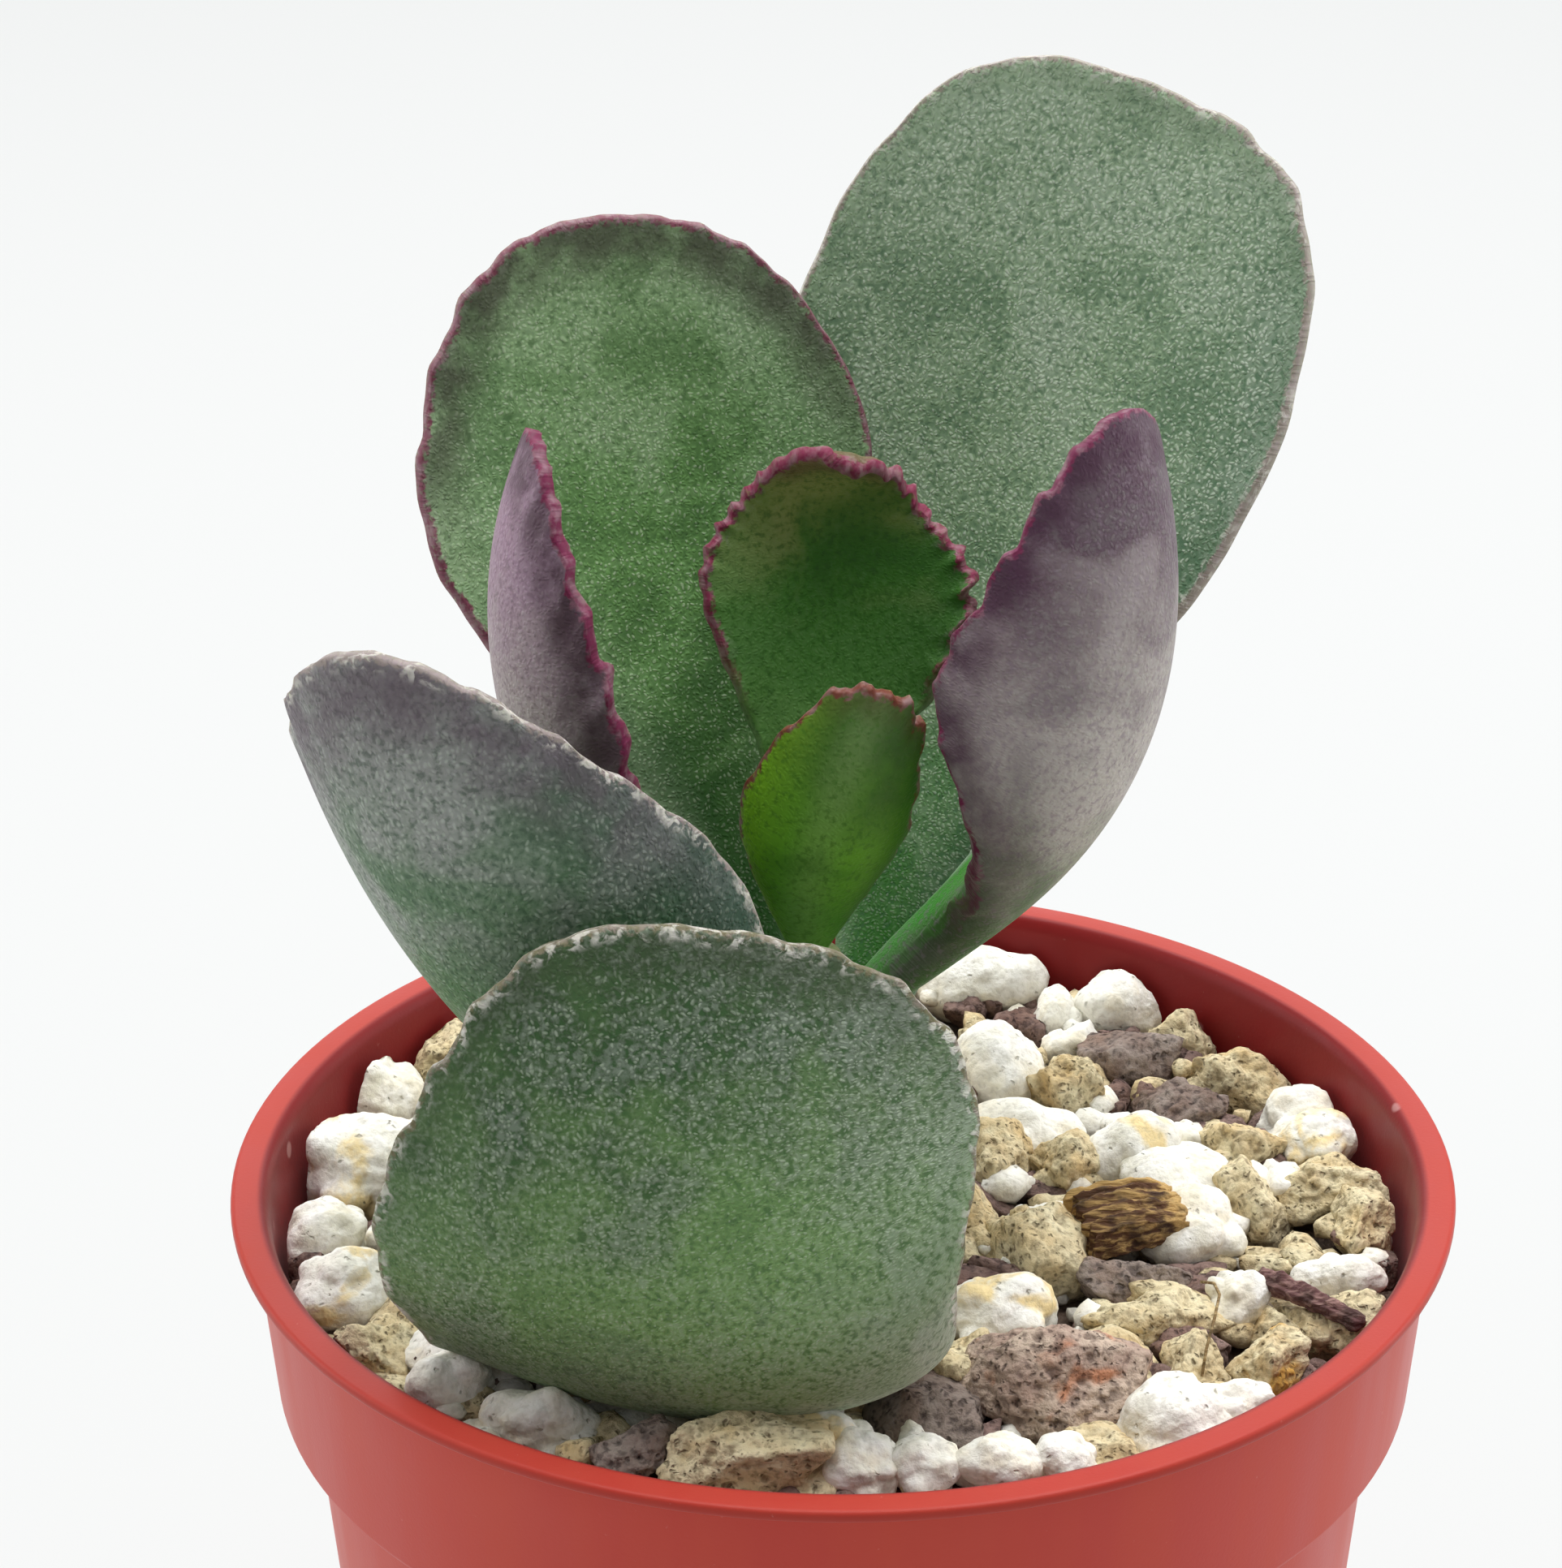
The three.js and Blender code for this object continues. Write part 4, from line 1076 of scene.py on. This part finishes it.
def make_grit(settings):
    graph = bpy.context.evaluated_depsgraph_get()
    trees = [BVHTree.FromObject(frame["nodes"][leaf.node], graph) for leaf in LEAVES[-2:]]
    grains = grain_places(settings.pitch / MM)
    numbers = range(len(grains))
    white = stone_material("white_pumice", Stone(
        settings.white, "#fbf9f3", "#a09888", "#ecd49a", 0.34, 0.12, 0.08, 0.25))
    tan = stone_material("tan_pumice", Stone(
        settings.tan, "#e8dcb8", "#66543a", "#d0a048", 0.32, 0.24, 0.35, 0.5))
    lava = stone_material("grey_lava", Stone(
        settings.lava, "#a0938a", "#33292a", "#8a5f44", 0.45, 0.24, 0.4, 0.6))
    tones = {"white_pumice_grains": (("white", "cream"), white),
             "tan_pumice_grains": (("tan", "orange"), tan),
             "lava_grains": (("grey",), lava)}
    for name, (kinds, material) in tones.items():
        chosen = [i for i in numbers if grains[i].tone in kinds]
        grain_piece(name, material, "grit", [grains[i] for i in chosen], chosen,
                    [5 if i < len(MAIN_GRAINS) else 4 for i in chosen], trees)
    make_mix(settings)
    make_crumbs(settings, {"dark_crumbs": dark_fines(), "tan_crumbs": tan,
                           "white_crumbs": white}, trees)


def dark_fines():
    """Crushed lava between the grains, purplish brown and dusty."""
    return stone_material("lava_fines", Stone(
        "#644e4a", "#927a72", "#33272a", "#7a5238", 0.4, 0.24, 0.4, 0.6))


def make_mix(settings):
    """The dark body of the mix, from the pot's floor to just under the grains."""
    level = settings.level / MM - 0.7
    profile = [(0, FLOOR_THICKNESS + 0.05), (21.0, FLOOR_THICKNESS + 0.05), (23.5, 41.2),
               (24.9, 41.6), (25.2, level), (0, level)]
    material, add, shader = new_material("fine_lava_dust")
    place = millimetres(add)
    feed(shader, {
        "Base Color": add("mix", add("noise", place, 1.2, 5.0), "#4a3c34", "#8c7666"),
        "Normal": add("bump", add("noise", place, 2.0, 5.0), 0.5 * MM), "Roughness": 0.95})
    piece_from(spun(profile, 96), "mix_body", material, "grit", "grit_bed")


def make_crumbs(settings, materials, trees):
    """Chips and crumbs that fill between the grains, in each tone."""
    kinds = len(materials)
    for kind, (name, material) in enumerate(materials.items()):
        grains = []
        levels = []
        purpose = 20 * (kind + 1)
        for i in range(settings.crumbs // kinds):
            spread = CRUMB_REACH * math.sqrt(draw(i, purpose))
            turn = 2 * math.pi * draw(i, purpose + 1)
            is_chip = i % CHIP_EVERY == 0
            luck = draw(i, purpose + 2)
            size = 2.4 + luck if is_chip else 0.9 + 1.2 * luck ** 2
            level = CHIP_LEVEL if is_chip else CRUMB_LEVEL
            height = level + CRUMB_HEAP * draw(i, purpose + 3)
            middle = (spread * math.cos(turn), spread * math.sin(turn), height)
            grains.append(Grain("tan", middle, (size, size * 0.8, size * 0.7), turn))
            levels.append(4 if is_chip else 2)
        first = FIRST_CRUMB + CRUMB_NUMBERS * kind
        grain_piece(name, material, "grit", grains, range(first, first + len(grains)), levels,
                    trees)


# Stem


STEM_X = -1.4
STEM_Y = 0.4


def make_stem():
    profile = [(0, 38), (1.6, 38), (2.6, 41), (3.4, 46.2), (2.9, 49.5), (2.7, 53),
               (2.6, 57), (1.9, 60), (0, 61)]
    bm = spun(fillet(profile, 1.2, 5), 48)
    bmesh.ops.subdivide_edges(bm, edges=bm.edges, cuts=1)
    bmesh.ops.remove_doubles(bm, verts=bm.verts, dist=1e-7)
    stem = piece_from(bm, "stem_skin", stem_skin(), "stem", "stem")
    points = get_points(stem.data) / MM
    scars = 0.12 * np.sin(points[:, 2] * 2.6) + 0.06 * np.sin(points[:, 2] * 7)
    spread = np.hypot(points[:, 0], points[:, 1])
    grow = 1 + np.where(spread > 1, scars / np.maximum(spread, 1), 0)
    points[:, 0] = points[:, 0] * grow + STEM_X
    points[:, 1] = points[:, 1] * grow + STEM_Y
    set_points(stem.data, points * MM)


def stem_skin():
    """Young corky stem: matt, grey-green above and brown at the soil."""
    material, add, shader = new_material("corky_stem_skin")
    place = millimetres(add)
    height = add("parts", place, give=2)
    rough = add("noise", place, 2.0, 4.0)
    feed(shader, {
        "Base Color": painted(add, "#6b5a41", (
            (add("ramp", height, 47, 55), "#6d7a4a"),
            (add("ramp", rough, 0.5, 0.7, 0.0, 0.6), "#8f8468"))),
        "Normal": add("bump", rough, 0.2 * MM), "Roughness": 0.75})
    return material


# Litter


CHIP_SIZE = (4.6, 3.6, 1.5)
CHIP_TURN = 0.25
TWIG_FROM = (18.4, -6.6, 47.7)
TWIG_TO = (22.4, -10.6, 48.0)
TWIG_TURN = -0.785
FIBRE_RADIUS = 0.07
FIBRE_ROUTE = ((15.6, -8.6, 48.8), (16.0, -10.0, 49.6), (16.1, -11.4, 49.9),
               (15.8, -12.6, 49.5), (15.4, -13.6, 48.6), (15.2, -14.2, 47.6))


def make_lava_stone():
    """The large brown lava stone in front, a worn lump with open pores."""
    low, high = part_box("lava_stone")
    bm = ball(6)
    base = np.array([vertex.co for vertex in bm.verts])
    material = stone_material("brown_lava", Stone(
        "#a78d80", "#c8b4a2", "#4c3a36", "#cc7840", 0.3, 0.28, 0.35, 0.55))
    stone = piece_from(bm, "lava_stone_worn", material, "lava", "lava_stone")
    rng = np.random.default_rng(11)
    directions = unit(base)
    points = directions * (0.5 * broken(directions, rng) + 0.5 * lobed(directions, rng))[:, None]
    points = fitted(points, (high - low) / MM)
    hollow = pores(points, 0.8, rng)
    points += directions * (0.5 * crust(points, 2.6, rng) + 0.16 * crust(points, 0.7, rng)
                            - 0.14 * hollow)[:, None]
    set_points(stone.data, (points + np.array((high + low) / (2 * MM))) * MM)
    every = np.ones(len(base))
    set_attributes(stone.data, pore=hollow, luck=0.3 * every, stain=0.5 * every)


def make_bark_chip():
    """The bark chip: a flat flake with ribs along the grain, frayed at its ends."""
    low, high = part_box("bark_chip")
    bm = bmesh.new()
    bmesh.ops.create_cube(bm, size=1)
    bmesh.ops.subdivide_edges(bm, edges=bm.edges, cuts=39, use_grid_fill=True)
    chip = piece_from(bm, "bark_chip_ribbed", bark("ribbed_bark", "#5a3a24", "#c8a468"),
                      "bark", "bark_chip")
    unit_points = get_points(chip.data)
    points = unit_points * np.array(CHIP_SIZE)
    rng = np.random.default_rng(5)
    x, y, z = points.T
    fray = 0.3 * np.sin(5.1 * y) + 0.25 * np.sin(13 * y + 1)
    lengthen = 1 + fray * 0.2 * (np.abs(x) / 2.3) ** 4
    ribs = 0.13 * np.sin(y * 8.2 + 0.6 * np.sin(x * 1.3)) + 0.08 * np.sin(y * 17 + x)
    bowed = 0.5 - 0.09 * x ** 2 - 0.1 * y ** 2
    shaped = np.stack([x * lengthen, y * (1 - 0.04 * x), z + ribs * (z > 0) + bowed], axis=1)
    shaped += 0.12 * crust(points, 0.8, rng)[:, None]
    set_points(chip.data, placed(shaped, CHIP_TURN, (low + high) / (2 * MM)) * MM)
    # Wear and painted light: paler towards the chip's right end and back edge
    end = np.maximum(unit_points[:, 0], unit_points[:, 1]) * 2
    set_attributes(chip.data, worn=smooth((end - 0.55) / 0.4))


def bark(name, dark, pale, turn=CHIP_TURN):
    """Dry fibrous wood: matt, dark in the grooves, paler on the ribs, and on the bark chip paler
    at the right end and back edge from wear and painted light.
    """
    material, add, shader = new_material(name)
    place = millimetres(add)
    along = add("mapping", place, (0.5, 3.0, 3.0), (0, 0, -turn))
    fibres = add("noise", along, 1.3, 5.0, 0.3)
    worn = add("attribute", attribute_name="worn")
    light = add("plus", fibres, add("times", worn, 0.26))
    burnt = add("ramp", add("noise", place, 0.9, 4.0), 0.5, 0.36, 0.0, 0.6)
    feed(shader, {
        "Base Color": painted(add, dark, (
            (add("ramp", light, 0.42, 0.7), pale), (burnt, "#2e2019"))),
        "Normal": add("bump", fibres, 0.3 * MM), "Roughness": 0.88})
    return material


def rod(route, radii, sides):
    """A closed round rod along a list of points, with a radius at each, in millimetres."""
    bm = bmesh.new()
    loops = []
    for i, (point, radius) in enumerate(zip(route, radii)):
        ahead = Vector(route[min(i + 1, len(route) - 1)]) - Vector(route[max(i - 1, 0)])
        turn = ahead.to_track_quat("Z", "Y").to_matrix().to_4x4()
        place = Matrix.Translation(Vector(point) * MM) @ turn
        made = bmesh.ops.create_circle(bm, segments=sides, radius=radius * MM, matrix=place)
        loops.append(made["verts"])
    rings = [list({edge for vert in loop for edge in vert.link_edges}) for loop in loops]
    for first, second in zip(rings, rings[1:]):
        bmesh.ops.bridge_loops(bm, edges=first + second)
    bmesh.ops.holes_fill(bm, edges=[edge for edge in bm.edges if edge.is_boundary], sides=0)
    bmesh.ops.recalc_face_normals(bm, faces=bm.faces)
    return bm


def make_twig():
    """The dark twig: a split bit of wood with ridges along it, thinner at its far end."""
    start = np.array(TWIG_FROM)
    end = np.array(TWIG_TO)
    count = 40
    route = [tuple(start + (end - start) * i / count
                   + np.array((0, 0, 0.12 * math.sin(4 * i / count)))) for i in range(count + 1)]
    radii = [0.56 - 0.2 * i / count + 0.03 * math.sin(0.9 * i) for i in range(count + 1)]
    radii[0] *= 0.6
    radii[-1] *= 0.6
    twig = piece_from(rod(route, radii, 40), "twig_split",
                      bark("split_wood", "#654242", "#a5827a", TWIG_TURN), "bark", "twig")
    points = get_points(twig.data) / MM
    axis = unit(end - start)
    from_axis = points - start - ((points - start) @ axis)[:, None] * axis
    around = np.arctan2(from_axis[:, 2], from_axis @ np.cross(axis, (0, 0, 1)))
    ridges = 0.1 * np.sin(5 * around) + 0.07 * np.sin(11 * around + 2)
    rng = np.random.default_rng(8)
    points += from_axis * (ridges + 0.25 * crust(points, 0.6, rng))[:, None]
    set_points(twig.data, points * MM)


def make_fibre():
    """A single dry root fibre that stands out of the grit in a low arch."""
    piece_from(rod(FIBRE_ROUTE, [FIBRE_RADIUS] * len(FIBRE_ROUTE), 6), "root_fibre",
               bark("root_fibre", "#8a7048", "#c0a878"), "bark")


# Stage


def make_stage(scene, settings):
    scene.view_settings.view_transform = "Standard"
    scene.view_settings.look = "None"
    floor(settings.floor)
    world(scene)
    lights(scene)
    camera(scene, settings)


def floor(radius):
    """The pale floor, wide enough to fill the view."""
    bm = bmesh.new()
    bmesh.ops.create_grid(bm, x_segments=2, y_segments=2, size=radius)
    material, _, shader = new_material("lit_white_acrylic")
    feed(shader, {"Base Color": "#6a6a6a", "Roughness": 0.9, "Emission Color": "#fbfdfc",
                  "Emission Strength": 0.66})
    object_from(bm, "floor", material)


def world(scene):
    """White light from the sides, the back and above, as in a light tent open in front."""
    scene.world = bpy.data.worlds.new("light_tent")
    scene.world.use_nodes = True
    tree = scene.world.node_tree
    add = partial(add_node, tree)
    back_to_front = add("parts", add("coordinates", give="Generated"), give=1)
    feed(tree.nodes["Background"], {
        "Color": "#f6f8fa", "Strength": add("ramp", back_to_front, -0.75, 0.3, 0.42, 0.61)})


# Each light: name, place in metres, size in metres, watts.
LIGHTS = (
    ("top_softbox", (0.03, 0.1, 0.5), 0.45, 3.0),
    ("left_softbox", (-0.42, 0.08, 0.2), 0.35, 0.8),
    ("right_softbox", (0.42, 0.1, 0.2), 0.35, 0.9),
    ("back_softbox", (0, 0.5, 0.35), 0.5, 0.9),
)
LIT_PLACE = Vector((0, 0, 0.055))


def lights(scene):
    for name, place, size, watts in LIGHTS:
        data = bpy.data.lights.new(name, "AREA")
        data.size = size
        data.energy = watts
        lamp = bpy.data.objects.new(name, data)
        lamp.location = place
        lamp.rotation_euler = (LIT_PLACE - Vector(place)).to_track_quat("-Z", "Y").to_euler()
        scene.collection.objects.link(lamp)


def camera(scene, settings):
    """The camera that the photograph was taken from."""
    rim = Vector((0, 0, scene.succulent_pot.height))
    elevation = settings.camera_elevation
    away = Vector((0, -math.cos(elevation), math.sin(elevation))) * settings.camera_distance
    pitch = math.atan2(RIM_CENTRE_DOWN_PIXELS, FOCAL_PIXELS)
    yaw = math.atan2(RIM_CENTRE_RIGHT_PIXELS, math.hypot(RIM_CENTRE_DOWN_PIXELS, FOCAL_PIXELS))
    aim = (-away).to_track_quat("-Z", "Y").to_matrix()
    turn = aim @ Matrix.Rotation(yaw, 3, "Y") @ Matrix.Rotation(pitch, 3, "X")
    data = bpy.data.cameras.new("camera")
    data.sensor_width = SENSOR_WIDTH_MM
    data.lens = SENSOR_WIDTH_MM * FOCAL_PIXELS / max(PICTURE_WIDTH, PICTURE_HEIGHT)
    data.clip_start = 0.01
    eye = bpy.data.objects.new("camera", data)
    eye.matrix_world = Matrix.Translation(rim + away) @ turn.to_4x4()
    scene.collection.objects.link(eye)
    scene.camera = eye


def register():
    for made in CLASSES:
        bpy.utils.register_class(made)
    for name, group in GROUPS.items():
        setattr(bpy.types.Scene, name, bpy.props.PointerProperty(type=group))


def unregister():
    for name in GROUPS:
        delattr(bpy.types.Scene, name)
    for made in reversed(CLASSES):
        bpy.utils.unregister_class(made)


def main():
    register()
    bpy.ops.succulent.stage()
    bpy.ops.succulent.pot()
    bpy.ops.succulent.grit()
    bpy.ops.succulent.stem()
    bpy.ops.succulent.leaves()
    bpy.ops.succulent.litter()


if __name__ == "__main__":
    main()
